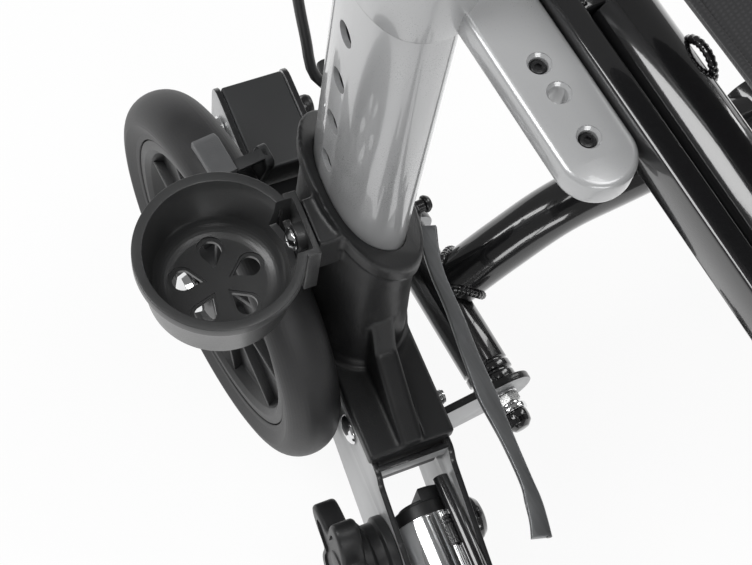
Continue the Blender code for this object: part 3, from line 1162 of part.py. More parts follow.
    left_hinge = empty("left_cross_hinge", (HINGE_X, 0, HINGE_Z), frame)
    middle = empty("cross_middle", (0, 0, BRACE_PIN_Z), left_hinge)
    piece(make_cross_link(-1, LEFT_CROSS_Y, True), "left_cross_link", BLACK_PAINT, left_hinge)
    piece(make_cross_link(1, LEFT_CROSS_Y - CROSS_SPACING, False), "right_cross_link", BLACK_PAINT, middle)

    seat_hinge = empty("left_seat_hinge", (HINGE_X, 0, SEAT_HINGE_Z), frame)
    seat_middle = empty("seat_middle", (0, 0, SEAT_PIN_Z), seat_hinge)
    piece(make_seat_link(-1, 0.0, True), "left_seat_link", BLACK_PAINT, seat_hinge)
    piece(make_seat_link(1, SEAT_BAR_SPACING, False), "right_seat_link", BLACK_PAINT, seat_middle)
    left_pad = piece(make_seat_pad(), "left_seat_pad", FABRIC, seat_hinge)
    right_pad = mirror_piece(left_pad, "right_seat_pad", seat_middle)
    right_pad.data.transform(Matrix.Translation((-HINGE_X, 0, SEAT_HINGE_Z - SEAT_PIN_Z)))

    for carrier in (frame, right):
        carrier.location -= Vector(MIDDLE)


build()
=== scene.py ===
"""Side-folding rollator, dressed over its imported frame.

Two splayed side frames stand on fixed rear wheels and front casters. A folding cross brace and a folding
padded seat join them. The left side frame is at negative X, and the user walks on the +Y side.
"""
import bpy
import bmesh
from math import cos, exp, pi, radians, sin
from mathutils import Matrix, Vector


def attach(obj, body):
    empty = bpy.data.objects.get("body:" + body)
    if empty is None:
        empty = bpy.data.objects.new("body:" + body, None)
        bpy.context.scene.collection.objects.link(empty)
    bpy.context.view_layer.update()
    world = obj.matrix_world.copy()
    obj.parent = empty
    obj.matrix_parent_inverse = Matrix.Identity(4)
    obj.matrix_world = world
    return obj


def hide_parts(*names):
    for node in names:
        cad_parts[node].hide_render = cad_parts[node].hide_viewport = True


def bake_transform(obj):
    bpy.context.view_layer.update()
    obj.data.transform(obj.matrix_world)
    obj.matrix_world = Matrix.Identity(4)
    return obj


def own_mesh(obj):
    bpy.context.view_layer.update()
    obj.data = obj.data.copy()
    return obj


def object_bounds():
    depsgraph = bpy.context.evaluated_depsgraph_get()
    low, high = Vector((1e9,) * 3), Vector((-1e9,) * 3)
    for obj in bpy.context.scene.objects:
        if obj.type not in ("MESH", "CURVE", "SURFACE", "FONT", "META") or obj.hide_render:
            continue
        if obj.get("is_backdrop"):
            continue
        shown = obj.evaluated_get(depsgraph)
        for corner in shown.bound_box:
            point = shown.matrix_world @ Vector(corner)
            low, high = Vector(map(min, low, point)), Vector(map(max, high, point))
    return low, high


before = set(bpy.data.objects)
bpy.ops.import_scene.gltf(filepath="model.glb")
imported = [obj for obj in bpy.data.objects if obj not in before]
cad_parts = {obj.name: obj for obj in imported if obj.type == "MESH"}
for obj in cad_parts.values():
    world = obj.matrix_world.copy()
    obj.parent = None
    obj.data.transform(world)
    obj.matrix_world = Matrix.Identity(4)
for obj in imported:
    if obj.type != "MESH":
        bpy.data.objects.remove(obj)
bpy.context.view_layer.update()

# Camera
# A short telephoto above and outside the left rear wheel. It looks steeply down along the bracket,
# so that the wheel, the cane cup, the foot of the column and the clamp of the front leg fill the picture.
camera_data = bpy.data.cameras.new("camera")
camera_data.lens = 79
camera_data.sensor_fit = "HORIZONTAL"
camera_data.sensor_width = 36
camera_data.clip_start = 0.01
camera = bpy.data.objects.new("camera", camera_data)
bpy.context.scene.collection.objects.link(camera)
camera_right = (0.8670, -0.4887, 0.0978)
camera_up = (0.4121, 0.8133, 0.4108)
camera_back = (-0.2803, -0.3159, 0.9064)
camera_turn = Matrix((camera_right, camera_up, camera_back)).transposed().to_4x4()
camera.matrix_world = Matrix.Translation((-0.4472, -0.1248, 0.8652)) @ camera_turn
bpy.context.scene.camera = camera
bpy.context.scene.view_settings.view_transform = "Standard"


# Studio floor, backdrop and lights
# The floor is plain white paper. The lamps are large soft boxes, one above, one at each side and one low in
# front, so that the tubes carry long pale bands and the black plastic stays readable.
class Link:
    """A shader socket that takes Python arithmetic: each operation adds its Math node."""

    def __init__(self, finish, socket):
        self.finish = finish
        self.socket = socket

    def math(self, operation, *values, clamp=False):
        values = {number: value for number, value in enumerate(values)}
        return self.finish.node("ShaderNodeMath", {"operation": operation, "use_clamp": clamp}, values)

    def __add__(self, other):
        return self.math("ADD", self, other)

    def __sub__(self, other):
        return self.math("SUBTRACT", self, other)

    def __mul__(self, other):
        return self.math("MULTIPLY", self, other)

    def above(self, edge, softness):
        """0 below the edge and 1 above it, with a ramp of the given width."""
        return self.math("MULTIPLY", (self - edge), 1 / softness, clamp=True)


class Finish:
    """One surface finish: a material with its Principled shader and whatever varies over the surface."""

    def __init__(self, name, colour, roughness, metallic=0.0, coat=0.0, coat_roughness=0.05, sheen=0.0,
                 specular=0.5):
        self.material = bpy.data.materials.new(name)
        self.material.use_nodes = True
        self.tree = self.material.node_tree
        self.shader = self.tree.nodes["Principled BSDF"]
        constants = {"Base Color": (*colour, 1.0), "Roughness": roughness, "Metallic": metallic,
                     "Coat Weight": coat, "Coat Roughness": coat_roughness, "Sheen Weight": sheen,
                     "Specular IOR Level": specular}
        for socket, value in constants.items():
            self.shader.inputs[socket].default_value = value

    def node(self, kind, settings=None, values=None, output=0):
        """Adds a node: its settings first, then the values or links of its sockets."""
        node = self.tree.nodes.new(kind)
        for setting, value in (settings or {}).items():
            setattr(node, setting, value)
        for socket, value in (values or {}).items():
            if isinstance(value, Link):
                self.tree.links.new(value.socket, node.inputs[socket])
            else:
                node.inputs[socket].default_value = value
        return Link(self, node.outputs[output])

    def set(self, socket, value):
        """Feeds a varying value to the Principled shader."""
        self.tree.links.new(value.socket, self.shader.inputs[socket])

    def place(self, scale=(1, 1, 1)):
        """Object coordinates in metres, stretched along an axis where the scale is small."""
        here = self.node("ShaderNodeTexCoord", output="Object")
        return self.node("ShaderNodeMapping", {"vector_type": "POINT"}, {"Vector": here, "Scale": scale})

    def noise(self, scale, detail=3.0, where=None):
        return self.node("ShaderNodeTexNoise", {"noise_dimensions": "3D"},
                         {"Vector": where or self.place(), "Scale": scale, "Detail": detail}, "Fac")

    def blend(self, share, low, high):
        """Colour between low and high by the share; each is a colour or a link."""
        pick = {6: low if isinstance(low, Link) else (*low, 1.0),
                7: high if isinstance(high, Link) else (*high, 1.0)}
        return self.node("ShaderNodeMix", {"data_type": "RGBA", "blend_type": "MIX"}, {0: share, **pick}, 2)

    def relief(self, height, distance, strength=1.0):
        """Bump from a height between 0 and 1, as deep as distance in metres."""
        bump = self.node("ShaderNodeBump", values={"Height": height, "Distance": distance,
                                                   "Strength": strength})
        self.set("Normal", bump)
        return bump


def plain_glow(name, tone, floor_share):
    """White paper: lit by the lamps, and partly self-lit towards the camera and in reflections."""
    paper = Finish(name, (tone, tone, tone), 0.9)
    path = paper.node("ShaderNodeLightPath", output="Is Camera Ray")
    glossy = Link(paper, path.socket.node.outputs["Is Glossy Ray"])
    through = Link(paper, path.socket.node.outputs["Is Transmission Ray"])
    seen = path.math("MAXIMUM", path, path.math("MAXIMUM", glossy, through)) * floor_share
    glow = paper.node("ShaderNodeEmission", values={"Color": (1, 1, 1, 1), "Strength": 1.0})
    surface = Link(paper, paper.shader.outputs[0])
    mixed = paper.node("ShaderNodeMixShader", values={0: seen, 1: surface, 2: glow})
    paper.tree.links.new(mixed.socket, paper.tree.nodes["Material Output"].inputs["Surface"])
    return paper.material


def stage_plane(name, half, height, material):
    bm = bmesh.new()
    bmesh.ops.create_grid(bm, x_segments=1, y_segments=1, size=half)
    bmesh.ops.translate(bm, vec=(0, 0, height), verts=bm.verts)
    mesh = bpy.data.meshes.new(name)
    bm.to_mesh(mesh)
    bm.free()
    mesh.materials.append(material)
    plane = bpy.data.objects.new(name, mesh)
    bpy.context.scene.collection.objects.link(plane)
    plane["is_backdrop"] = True


stage_plane("floor", 6.0, -0.0005, plain_glow("white_paper", 0.95, 0.93))

world = bpy.data.worlds.new("studio")
bpy.context.scene.world = world
world.use_nodes = True
world_nodes = world.node_tree.nodes
world_links = world.node_tree.links
room = world_nodes["Background"]
room.inputs["Color"].default_value = (1, 1, 1, 1)
room.inputs["Strength"].default_value = 0.20
backdrop = world_nodes.new("ShaderNodeBackground")
backdrop.inputs["Strength"].default_value = 1.0
ray = world_nodes.new("ShaderNodeLightPath")
mix_room = world_nodes.new("ShaderNodeMixShader")
world_links.new(ray.outputs["Is Camera Ray"], mix_room.inputs[0])
world_links.new(room.outputs[0], mix_room.inputs[1])
world_links.new(backdrop.outputs[0], mix_room.inputs[2])
world_links.new(mix_room.outputs[0], world_nodes["World Output"].inputs["Surface"])


def soft_box(name, place, aim, size, power):
    light = bpy.data.lights.new(name, "AREA")
    light.shape = "RECTANGLE"
    light.size, light.size_y = size
    light.energy = power
    lamp = bpy.data.objects.new(name, light)
    turn = (Vector(place) - Vector(aim)).to_track_quat("Z", "Y").to_matrix().to_4x4()
    lamp.matrix_world = Matrix.Translation(place) @ turn
    bpy.context.scene.collection.objects.link(lamp)


soft_box("key_box", (-1.6, 0.9, 2.2), (-0.2, 0.1, 0.3), (1.0, 1.6), 34)
soft_box("top_box", (0.3, -0.4, 2.9), (0.0, 0.0, 0.4), (1.4, 1.2), 24)
soft_box("right_box", (2.2, 0.6, 1.4), (0.0, 0.0, 0.4), (0.7, 1.8), 20)
soft_box("front_box", (-0.8, -2.3, 1.3), (0.0, 0.0, 0.4), (1.8, 0.6), 18)


# Brake cables
# Each is a thin black sheathed cable, held at both ends: it hangs from the lever bracket, bows back behind
# the column and goes into a moulded boot in the column's rear side.
ROW = Matrix.Translation((0.0143, -0.0356, 0))
MIRROR = ROW @ Matrix.Diagonal((-1, 1, 1, 1)) @ ROW.inverted()
SIDE = ROW @ Matrix.Translation((-0.290, 0.215, 0)) @ Matrix.Rotation(radians(-7.2), 4, "Z")


def loose(bm, matrix=None):
    """A working object from a bmesh, with its doubles merged and its faces turned outward."""
    bmesh.ops.remove_doubles(bm, verts=bm.verts, dist=0.000002)
    bmesh.ops.recalc_face_normals(bm, faces=bm.faces)
    if matrix:
        bmesh.ops.transform(bm, matrix=matrix, verts=bm.verts)
    mesh = bpy.data.meshes.new("work")
    bm.to_mesh(mesh)
    bm.free()
    obj = bpy.data.objects.new("work", mesh)
    bpy.context.scene.collection.objects.link(obj)
    return obj


def settled(obj, matrix=None):
    """The mesh that an object's curve or modifiers give, as a new working object."""
    bpy.context.view_layer.update()
    evaluated = obj.evaluated_get(bpy.context.evaluated_depsgraph_get())
    mesh = bpy.data.meshes.new_from_object(evaluated)
    bpy.data.objects.remove(obj)
    bm = bmesh.new()
    bm.from_mesh(mesh)
    bpy.data.meshes.remove(mesh)
    return loose(bm, matrix)


def pipe(route, radius, sides=6, swell=None):
    """Round bar along the route's points, with caps; swell gives each point's share of the radius."""
    curve = bpy.data.curves.new("pipe", "CURVE")
    curve.dimensions = "3D"
    curve.bevel_depth = radius
    curve.bevel_resolution = sides
    curve.use_fill_caps = True
    spline = curve.splines.new("POLY")
    spline.points.add(len(route) - 1)
    for number, (knot, point) in enumerate(zip(spline.points, route)):
        knot.co = (*point, 1)
        knot.radius = swell[number] if swell else 1.0
    obj = bpy.data.objects.new("pipe", curve)
    bpy.context.scene.collection.objects.link(obj)
    return settled(obj)


def smooth_route(points, spacing):
    """Points at an even spacing along a smooth curve through the given ones."""
    points = [Vector(point) for point in points]
    padded = [2 * points[0] - points[1], *points, 2 * points[-1] - points[-2]]
    fine = []
    for before, start, end, after in zip(padded, padded[1:], padded[2:], padded[3:]):
        for step in range(20):
            t = step / 20
            curve = (2 * start + (end - before) * t + (2 * before - 5 * start + 4 * end - after) * t * t
                     + (3 * start - before - 3 * end + after) * t ** 3)
            fine.append(0.5 * curve)
    fine.append(points[-1])
    length = sum((b - a).length for a, b in zip(fine, fine[1:]))
    count = round(length / spacing)
    route, covered, wanted = [fine[0]], 0.0, 1
    for a, b in zip(fine, fine[1:]):
        part = (b - a).length
        while wanted < count and covered + part >= wanted * length / count:
            route.append(a.lerp(b, (wanted * length / count - covered) / part))
            wanted += 1
        covered += part
    return [*route, fine[-1]]


def add_piece(obj, name, finish, slot, body, *nodes):
    """Names a finished mesh, gives it its finish, and fixes it to a CAD body in place of its solids."""
    obj.name = name
    obj.data.name = name
    if finish:
        obj.data.materials.clear()
        obj.data.materials.append(finish.material)
    obj.data.shade_smooth()
    obj.data.set_sharp_from_angle(angle=radians(38))
    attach(obj, body)
    if nodes:
        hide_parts(*nodes)
    return obj


def mirror_copy(obj):
    copy = obj.copy()
    copy.data = obj.data.copy()
    copy.data.transform(MIRROR)
    copy.data.flip_normals()
    bpy.context.scene.collection.objects.link(copy)
    return copy


def add_pair(obj, name, finish, slot, body, *nodes):
    """The left piece and its mirror copy on the right side."""
    copy = mirror_copy(obj)
    left = add_piece(obj, name + "_left", finish, slot, "left_" + body, *["left_" + node for node in nodes])
    right = add_piece(copy, name + "_right", finish, slot, "right_" + body,
                      *["right_" + node for node in nodes])
    return left, right


def in_side(across, back, height):
    """A point of the left side frame: across is inboard from the wheel, back is behind its axle."""
    return SIDE @ Vector((across, back, height))


COLUMN_ACROSS = 0.0477
COLUMN_BACK = -0.032
COLUMN_HALF = (0.019, 0.0305)
CABLE_RADIUS = 0.0024
CABLE_ENTRY = 0.249
HANDLE_HEIGHT = 0.892
column_foot = in_side(COLUMN_ACROSS, COLUMN_BACK, 0)
cable_points = [in_side(COLUMN_ACROSS, COLUMN_BACK + COLUMN_HALF[1] - 0.0035, CABLE_ENTRY),
                in_side(COLUMN_ACROSS, COLUMN_BACK + COLUMN_HALF[1] + 0.004, CABLE_ENTRY + 0.001)]
for across, back, height in ((-0.0048, 0.0400, 0.2640), (-0.0062, 0.0470, 0.2830), (-0.0068, 0.0565, 0.3060),
                             (-0.0065, 0.0720, 0.3500), (-0.0050, 0.0860, 0.4200), (-0.0020, 0.0920, 0.5200),
                             (0, 0.0900, 0.6400), (0, 0.0780, 0.7400), (0, 0.0640, 0.8000)):
    cable_points.append(column_foot + Vector((across, back, height)))
lever_axis = ROW @ Vector((0, 0.2420, HANDLE_HEIGHT - 0.0340))
lever_axis.x = column_foot.x
cable_points.append(Vector((lever_axis.x, lever_axis.y - 0.0015, HANDLE_HEIGHT - 0.0525)))
cable_route = smooth_route(cable_points, 0.006)
cable_length = sum((b - a).length for a, b in zip(cable_route, cable_route[1:]))

sheath = Finish("cable_sheath", (0.016, 0.016, 0.017), 0.34)
sheath_grain = sheath.noise(900.0, 2.0)
sheath.set("Roughness", sheath_grain * 0.18 + 0.26)
sheath.relief(sheath_grain, 0.00006)

cable_left = pipe(cable_route, CABLE_RADIUS)
cable_right = mirror_copy(cable_left)
for side, cable, route in (("left", cable_left, cable_route),
                           ("right", cable_right, [MIRROR @ point for point in cable_route])):
    cable.name = "brake_cable_" + side
    cable.data.materials.append(sheath.material)
    cable.data.shade_smooth()
    side + "_frame"
    side + "_handle"
    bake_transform(cable)
    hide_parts(side + "_brake_cable")


# Cable boots
# A short moulded grommet, where the cable enters the column, and a flanged ferrule under the lever bracket.
def axis_at(start, direction):
    """A frame at start whose Z runs along direction."""
    return Matrix.Translation(start) @ Vector(direction).to_track_quat("Z", "Y").to_matrix().to_4x4()


def softened(corners, radius, steps=4, closed=False):
    """The corners of a flat outline or profile, each rounded by an arc of the radius where it has room."""
    count = len(corners)
    points = []
    for number, corner in enumerate(corners):
        if not closed and number in (0, count - 1):
            points.append(tuple(corner))
            continue
        before, here = Vector(corners[number - 1]), Vector(corner)
        after = Vector(corners[(number + 1) % count])
        into, out = (here - before).normalized(), (after - here).normalized()
        angle = into.angle(out)
        if angle < 0.12 or radius == 0:
            points.append(tuple(corner))
            continue
        room = 0.45 * min((here - before).length, (after - here).length)
        reach = min(radius * sin(angle / 2) / cos(angle / 2), room)
        arc = reach * cos(angle / 2) / sin(angle / 2)
        start = here - into * reach
        side = (out - into * into.dot(out)).normalized()
        for step in range(steps + 1):
            turn = angle * step / steps
            points.append(tuple(start + into * arc * sin(turn) + side * arc * (1 - cos(turn))))
    return points


def turned(profile, matrix, steps=48, closed=False, edge=0.0004):
    """Lathe-turned solid: the profile holds (radius, distance along the axis), rounded by the edge."""
    profile = softened(profile, edge, 3, closed)
    bm = bmesh.new()
    points = [bm.verts.new((max(radius, 0), 0, along)) for radius, along in profile]
    edges = [bm.edges.new(pair) for pair in zip(points, points[1:])]
    if closed:
        edges.append(bm.edges.new((points[-1], points[0])))
    bmesh.ops.spin(bm, geom=points + edges, cent=(0, 0, 0), axis=(0, 0, 1), angle=2 * pi, steps=steps,
                   use_merge=True)
    return loose(bm, matrix)


def merged(*objects):
    """Several working objects in one, as welded or pressed together."""
    bm = bmesh.new()
    for obj in objects:
        bm.from_mesh(obj.data)
        bpy.data.objects.remove(obj)
    mesh = bpy.data.meshes.new("work")
    bm.to_mesh(mesh)
    bm.free()
    obj = bpy.data.objects.new("work", mesh)
    bpy.context.scene.collection.objects.link(obj)
    return obj


moulded = Finish("moulded_black", (0.0150, 0.0152, 0.0158), 0.40, specular=0.45)
grain = moulded.noise(1400.0, 2.0)
cloudy = moulded.noise(38.0, 3.0)
moulded.set("Base Color", moulded.blend(cloudy, (0.0120, 0.0122, 0.0128), (0.0185, 0.0188, 0.0195)))
moulded.set("Roughness", cloudy * 0.14 + grain * 0.10 + 0.29)
moulded.relief(grain, 0.00009, 0.8)

entry = in_side(COLUMN_ACROSS, COLUMN_BACK + COLUMN_HALF[1], CABLE_ENTRY)
entry_direction = (SIDE.to_3x3() @ Vector((0, 1, 0.08))).normalized()
boot_profile = [(CABLE_RADIUS + 0.0002, -0.0010), (0.0050, -0.0010), (0.0068, 0.0003), (0.0068, 0.0022),
                (0.0046, 0.0032),
                (0.0040, 0.0120), (0.0031, 0.0200), (CABLE_RADIUS + 0.0002, 0.0200)]
boot = turned(boot_profile, axis_at(entry, entry_direction), 32, closed=True)
add_pair(boot, "cable_boot", moulded, "black_plastic", "frame")
ferrule_top = cable_points[-1]
ferrule = turned([(CABLE_RADIUS + 0.0002, -0.0130), (0.0034, -0.0130), (0.0034, -0.0030), (0.0044, -0.0026),
                  (0.0044, 0.0004), (CABLE_RADIUS + 0.0002, 0.0004)],
                 axis_at(ferrule_top, ferrule_top - cable_route[-3]), 32, closed=True)
add_pair(ferrule, "cable_ferrule", moulded, "black_plastic", "handle")


# Columns
# An oval aluminium tube, painted silver-grey and lacquered, stands in each socket. A row of punched height
# holes faces outward, and the handle post slides inside it.
def oval(x, y, half_x, half_y, count=72, power=2.3):
    points = []
    for number in range(count):
        c, s = cos(2 * pi * number / count), sin(2 * pi * number / count)
        points.append((x + half_x * abs(c) ** (2 / power) * (1 if c >= 0 else -1),
                       y + half_y * abs(s) ** (2 / power) * (1 if s >= 0 else -1)))
    return points


def plate(outline, low, high, matrix=None, holes=(), edge=0.0005):
    """Flat outline in x and y, extruded from low to high with rounded edges; holes are outlines too."""
    curve = bpy.data.curves.new("outline", "CURVE")
    curve.dimensions = "2D"
    curve.fill_mode = "BOTH"
    curve.extrude = (high - low) / 2 - edge
    curve.bevel_depth = edge
    curve.bevel_resolution = 2
    curve.offset = -edge
    for points in (outline, *holes):
        spline = curve.splines.new("POLY")
        spline.points.add(len(points) - 1)
        for knot, (x, y) in zip(spline.points, points):
            knot.co = (x, y, 0, 1)
        spline.use_cyclic_u = True
    obj = bpy.data.objects.new("plate", curve)
    bpy.context.scene.collection.objects.link(obj)
    lift = Matrix.Translation((0, 0, (high + low) / 2))
    return settled(obj, matrix @ lift if matrix else lift)


def rod(start, end, radius, edge=0.0, steps=32):
    """Straight round bar between two points, with rounded rims."""
    start, end = Vector(start), Vector(end)
    length = (end - start).length
    return turned([(0, 0), (radius, 0), (radius, length), (0, length)], axis_at(start, end - start), steps,
                  edge=edge)


def combined(target, tools, operation):
    for tool in tools:
        modifier = target.modifiers.new("combine", "BOOLEAN")
        modifier.operation = operation
        modifier.solver = "EXACT"
        modifier.object = tool
        target = settled(target)
        bpy.data.objects.remove(tool)
    return target


silver = Finish("silver_lacquer", (0.47, 0.475, 0.48), 0.30, metallic=0.22, coat=0.75, coat_roughness=0.04)
flake = silver.noise(2600.0, 1.0)
drift = silver.noise(14.0, 3.0)
silver.set("Base Color", silver.blend(drift * 0.6 + flake * 0.4, (0.445, 0.450, 0.455),
                                      (0.495, 0.500, 0.505)))
silver.set("Roughness", drift * 0.10 + flake * 0.10 + 0.20)
silver.relief(silver.noise(150.0, 2.0), 0.00004, 0.5)

COLUMN_WALL = 0.0022
COLUMN_ENDS = (0.125, 0.700)
bore = (COLUMN_HALF[0] - COLUMN_WALL, COLUMN_HALF[1] - COLUMN_WALL)
column = plate(oval(COLUMN_ACROSS, COLUMN_BACK, *COLUMN_HALF), *COLUMN_ENDS, SIDE,
               [oval(COLUMN_ACROSS, COLUMN_BACK, *bore)], 0.0007)
HOLE_RADIUS = 0.0055
holes = []
for number in range(4):
    height = 0.2605 + 0.0320 * number
    holes.append(rod(in_side(0, COLUMN_BACK, height), in_side(COLUMN_ACROSS, COLUMN_BACK, height),
                     HOLE_RADIUS))
holes.append(rod(in_side(COLUMN_ACROSS, COLUMN_BACK, CABLE_ENTRY), in_side(COLUMN_ACROSS, 0.03, CABLE_ENTRY),
                 CABLE_RADIUS + 0.0030))
column = combined(column, holes, "DIFFERENCE")
add_pair(column, "column", silver, "silver_grey_paint", "frame", "column")


# Socket housings
# One black glass-filled nylon moulding a side: an inclined collar round the column's foot, a boss that swells
# to the front, a rib that runs down to the nose, and a block screwed on and between the bracket's flanges.
def loft(sections):
    """Solid through stacked outlines: each section is (height, outline)."""
    bm = bmesh.new()
    rings = []
    for height, outline in sections:
        ring = [bm.verts.new((x, y, height)) for x, y in outline]
        rings.append([bm.edges.new((ring[number - 1], ring[number])) for number in range(len(ring))])
    for lower, upper in zip(rings, rings[1:]):
        bmesh.ops.bridge_loops(bm, edges=lower + upper)
    bmesh.ops.holes_fill(bm, edges=rings[0] + rings[-1], sides=0)
    return loose(bm)


def block(low, high, edge, segments=3, matrix=None):
    """Rectangular block with rounded edges."""
    bm = bmesh.new()
    bmesh.ops.create_cube(bm, size=1.0)
    bmesh.ops.scale(bm, vec=Vector(high) - Vector(low), verts=bm.verts)
    bmesh.ops.translate(bm, vec=(Vector(high) + Vector(low)) / 2, verts=bm.verts)
    if edge:
        bmesh.ops.bevel(bm, geom=bm.edges[:], offset=edge, segments=segments, profile=0.5, affect="EDGES",
                        material=-1)
    return loose(bm, matrix)


def filleted(obj, voxel, rounds):
    """The solids of an object grown into one skin, with soft fillets where they meet."""
    remesh = obj.modifiers.new("skin", "REMESH")
    remesh.mode = "VOXEL"
    remesh.voxel_size = voxel
    smooth = obj.modifiers.new("soften", "SMOOTH")
    smooth.factor = 0.5
    smooth.iterations = rounds
    return settled(obj)


BRACKET_TOP = 0.112
BLOCK_TOP = 0.121
COLLAR_TOP = 0.2225
COLLAR_SLANT = 0.90
FLANGE_OUTER = 0.028
FLANGE_INNER = 0.031
FAR_INNER = 0.066
FAR_OUTER = 0.069
UPRIGHT = Matrix(((0, 0, 1, 0), (1, 0, 0, 0), (0, 1, 0, 0), (0, 0, 0, 1)))
COLLAR_DIP = 0.0060
x, y = 0.0490, COLUMN_BACK
boss = loft([(BRACKET_TOP + 0.0003, oval(x - 0.0005, y - 0.0015, 0.0235, 0.0415)),
             (BLOCK_TOP + 0.0006, oval(x - 0.0005, y - 0.0015, 0.0268, 0.0446)),
             (BLOCK_TOP + 0.0024, oval(x - 0.0005, y - 0.0015, 0.0266, 0.0444)),
             (BLOCK_TOP + 0.0040, oval(x - 0.0003, y - 0.0010, 0.0252, 0.0428)),
             (0.138, oval(x, y - 0.0008, 0.0249, 0.0418)), (0.155, oval(x, y - 0.0005, 0.0246, 0.0405)),
             (0.175, oval(x, y, 0.0243, 0.0394)), (0.195, oval(x, y, 0.0242, 0.0385)),
             (COLLAR_TOP - 0.0125, oval(x, y, 0.0244, 0.0384)),
             (COLLAR_TOP - 0.0105, oval(x, y + 0.001, 0.0262, 0.0412)),
             (COLLAR_TOP - 0.0010, oval(x, y + 0.001, 0.0262, 0.0412)),
             (COLLAR_TOP + 0.0004, oval(x, y + 0.001, 0.0252, 0.0402))])
for vertex in boss.data.vertices:
    share = min(1, max(0, (vertex.co.z - BLOCK_TOP - 0.004) / (COLLAR_TOP - 0.014 - BLOCK_TOP))) ** 1.5
    ahead = max(0, y - vertex.co.y) / 0.041
    vertex.co.z -= share * (COLLAR_SLANT * (vertex.co.x - x) + COLLAR_DIP * ahead ** 2)
saddle = block((FLANGE_OUTER - 0.0015, -0.122, BRACKET_TOP + 0.0003), (FAR_OUTER + 0.0015, 0.018, BLOCK_TOP),
               0.0008, 2)
tongue = block((FLANGE_INNER + 0.0003, -0.1225, 0.080), (FAR_INNER - 0.0003, 0.020, BRACKET_TOP + 0.002),
               0.0008, 2)
nose = plate([(0.019, 0.084), (0.043, 0.088), (0.043, 0.097), (0.019, 0.1195)], FLANGE_INNER + 0.0003,
             FAR_INNER - 0.0003, UPRIGHT)
rib = plate([(y - 0.030, BLOCK_TOP - 0.002), (-0.1215, BLOCK_TOP - 0.002), (-0.1215, BLOCK_TOP + 0.0028),
             (-0.105, BLOCK_TOP + 0.0110), (y - 0.050, 0.145), (y - 0.030, 0.180)], x - 0.0065, x + 0.0055,
            UPRIGHT,
            edge=0.0025)
CUP_SCREW = (-0.0485, 0.231)
CUP_ACROSS = -0.0235
CUP_RIM = 0.0369
cup_pad = block((CUP_ACROSS + CUP_RIM + 0.0032, -0.058, 0.213), (x - 0.0205, -0.035, 0.238), 0.0010, 2)
housing = filleted(merged(boss, saddle, tongue, nose, rib, cup_pad), 0.0010, 4)
pocket = plate(oval(COLUMN_ACROSS, y, COLUMN_HALF[0] + 0.0004, COLUMN_HALF[1] + 0.0004),
               COLUMN_ENDS[0] - 0.0005, 0.30)
screw_hole = rod((0, *CUP_SCREW), (x - 0.0215, *CUP_SCREW), 0.0029)
FRONT_BOLT = (-0.0970, 0.097)
bolt_hole = rod((-0.02, *FRONT_BOLT), (0.10, *FRONT_BOLT), 0.0045)
housing = combined(housing, (pocket, screw_hole, bolt_hole), "DIFFERENCE")
housing.data.transform(SIDE)
wheel_axle = ROW @ Vector((-0.290, 0.215, 0.100))
housing = combined(housing, [rod(wheel_axle - Vector((0.03, 0, 0)), wheel_axle + Vector((0.075, 0, 0)),
                                 0.0065)],
                   "DIFFERENCE")
add_pair(housing, "socket_housing", moulded, "black_plastic", "frame", "socket_housing")


# Wheel brackets
# Each is flat steel bent to a U and punched: two tapered flanges, a strip across them in front of the socket,
# and two welded hinge ears. The sides are pale satin metal; every edge is painted near-black, a painted dark
# reflection of the space above.
def side_plate(outline, low, high, holes=(), edge=0.0005):
    """Upright plate along the side frame: outline in (back, height), low and high are across it."""
    return plate(outline, low, high, SIDE @ UPRIGHT, holes, edge)


def across_plate(outline, low, high, holes=(), edge=0.0005):
    """Upright plate square to Y: outline in (x, height), low and high along Y, in the undressed frame."""
    turn = Matrix(((1, 0, 0, 0), (0, 0, -1, 0), (0, 1, 0, 0), (0, 0, 0, 1)))
    return plate(outline, -high, -low, ROW @ turn, holes, edge)


def along_plate(outline, low, high, holes=(), edge=0.0005):
    """Upright plate square to X: outline in (y, height), low and high along X."""
    return plate(outline, low, high, ROW @ UPRIGHT, holes, edge)


def ring(x, y, radius, count=32):
    return [(x + radius * cos(2 * pi * number / count), y + radius * sin(2 * pi * number / count))
            for number in range(count)]


def painted_dark_edges(obj, axis):
    """Second finish, a painted dark reflection, on every face that does not look along the axis."""
    for face in obj.data.polygons:
        face.material_index = 0 if abs(face.normal.dot(axis)) > 0.93 else 1
    return obj


def bead(route, radius):
    """Weld bead: a low rippled bar laid along a seam."""
    fine = smooth_route(route, 0.0007)
    swell = [0.82 + 0.30 * abs(sin(pi * number / 3.1)) for number in range(len(fine))]
    return pipe(fine, radius, 3, swell)


steel = Finish("satin_steel", (0.52, 0.525, 0.53), 0.36, metallic=0.35)
rolled = steel.noise(240.0, 4.0, steel.place(scale=(1, 0.06, 1)))
spots = steel.noise(26.0, 4.0)
steel.set("Base Color", steel.blend(spots * 0.6 + rolled * 0.4, (0.47, 0.475, 0.48), (0.57, 0.575, 0.58)))
steel.set("Roughness", rolled * 0.20 + spots * 0.12 + 0.22)
steel.relief(rolled, 0.00003, 0.6)
# Near-black steel for the real welds, screws and lug. It is also laid on the bracket's edges and the lever's
# right edge as painted shade and dark reflection.
dark_edge = Finish("dark_steel_and_painted_edge_shade", (0.012, 0.012, 0.013), 0.30, coat=0.4)
edge_wear = dark_edge.noise(320.0, 4.0)
dark_edge.set("Base Color", dark_edge.blend(edge_wear.above(0.66, 0.10), (0.010, 0.010, 0.011),
                                            (0.075, 0.075, 0.078)))
dark_edge.set("Roughness", edge_wear * 0.30 + 0.18)

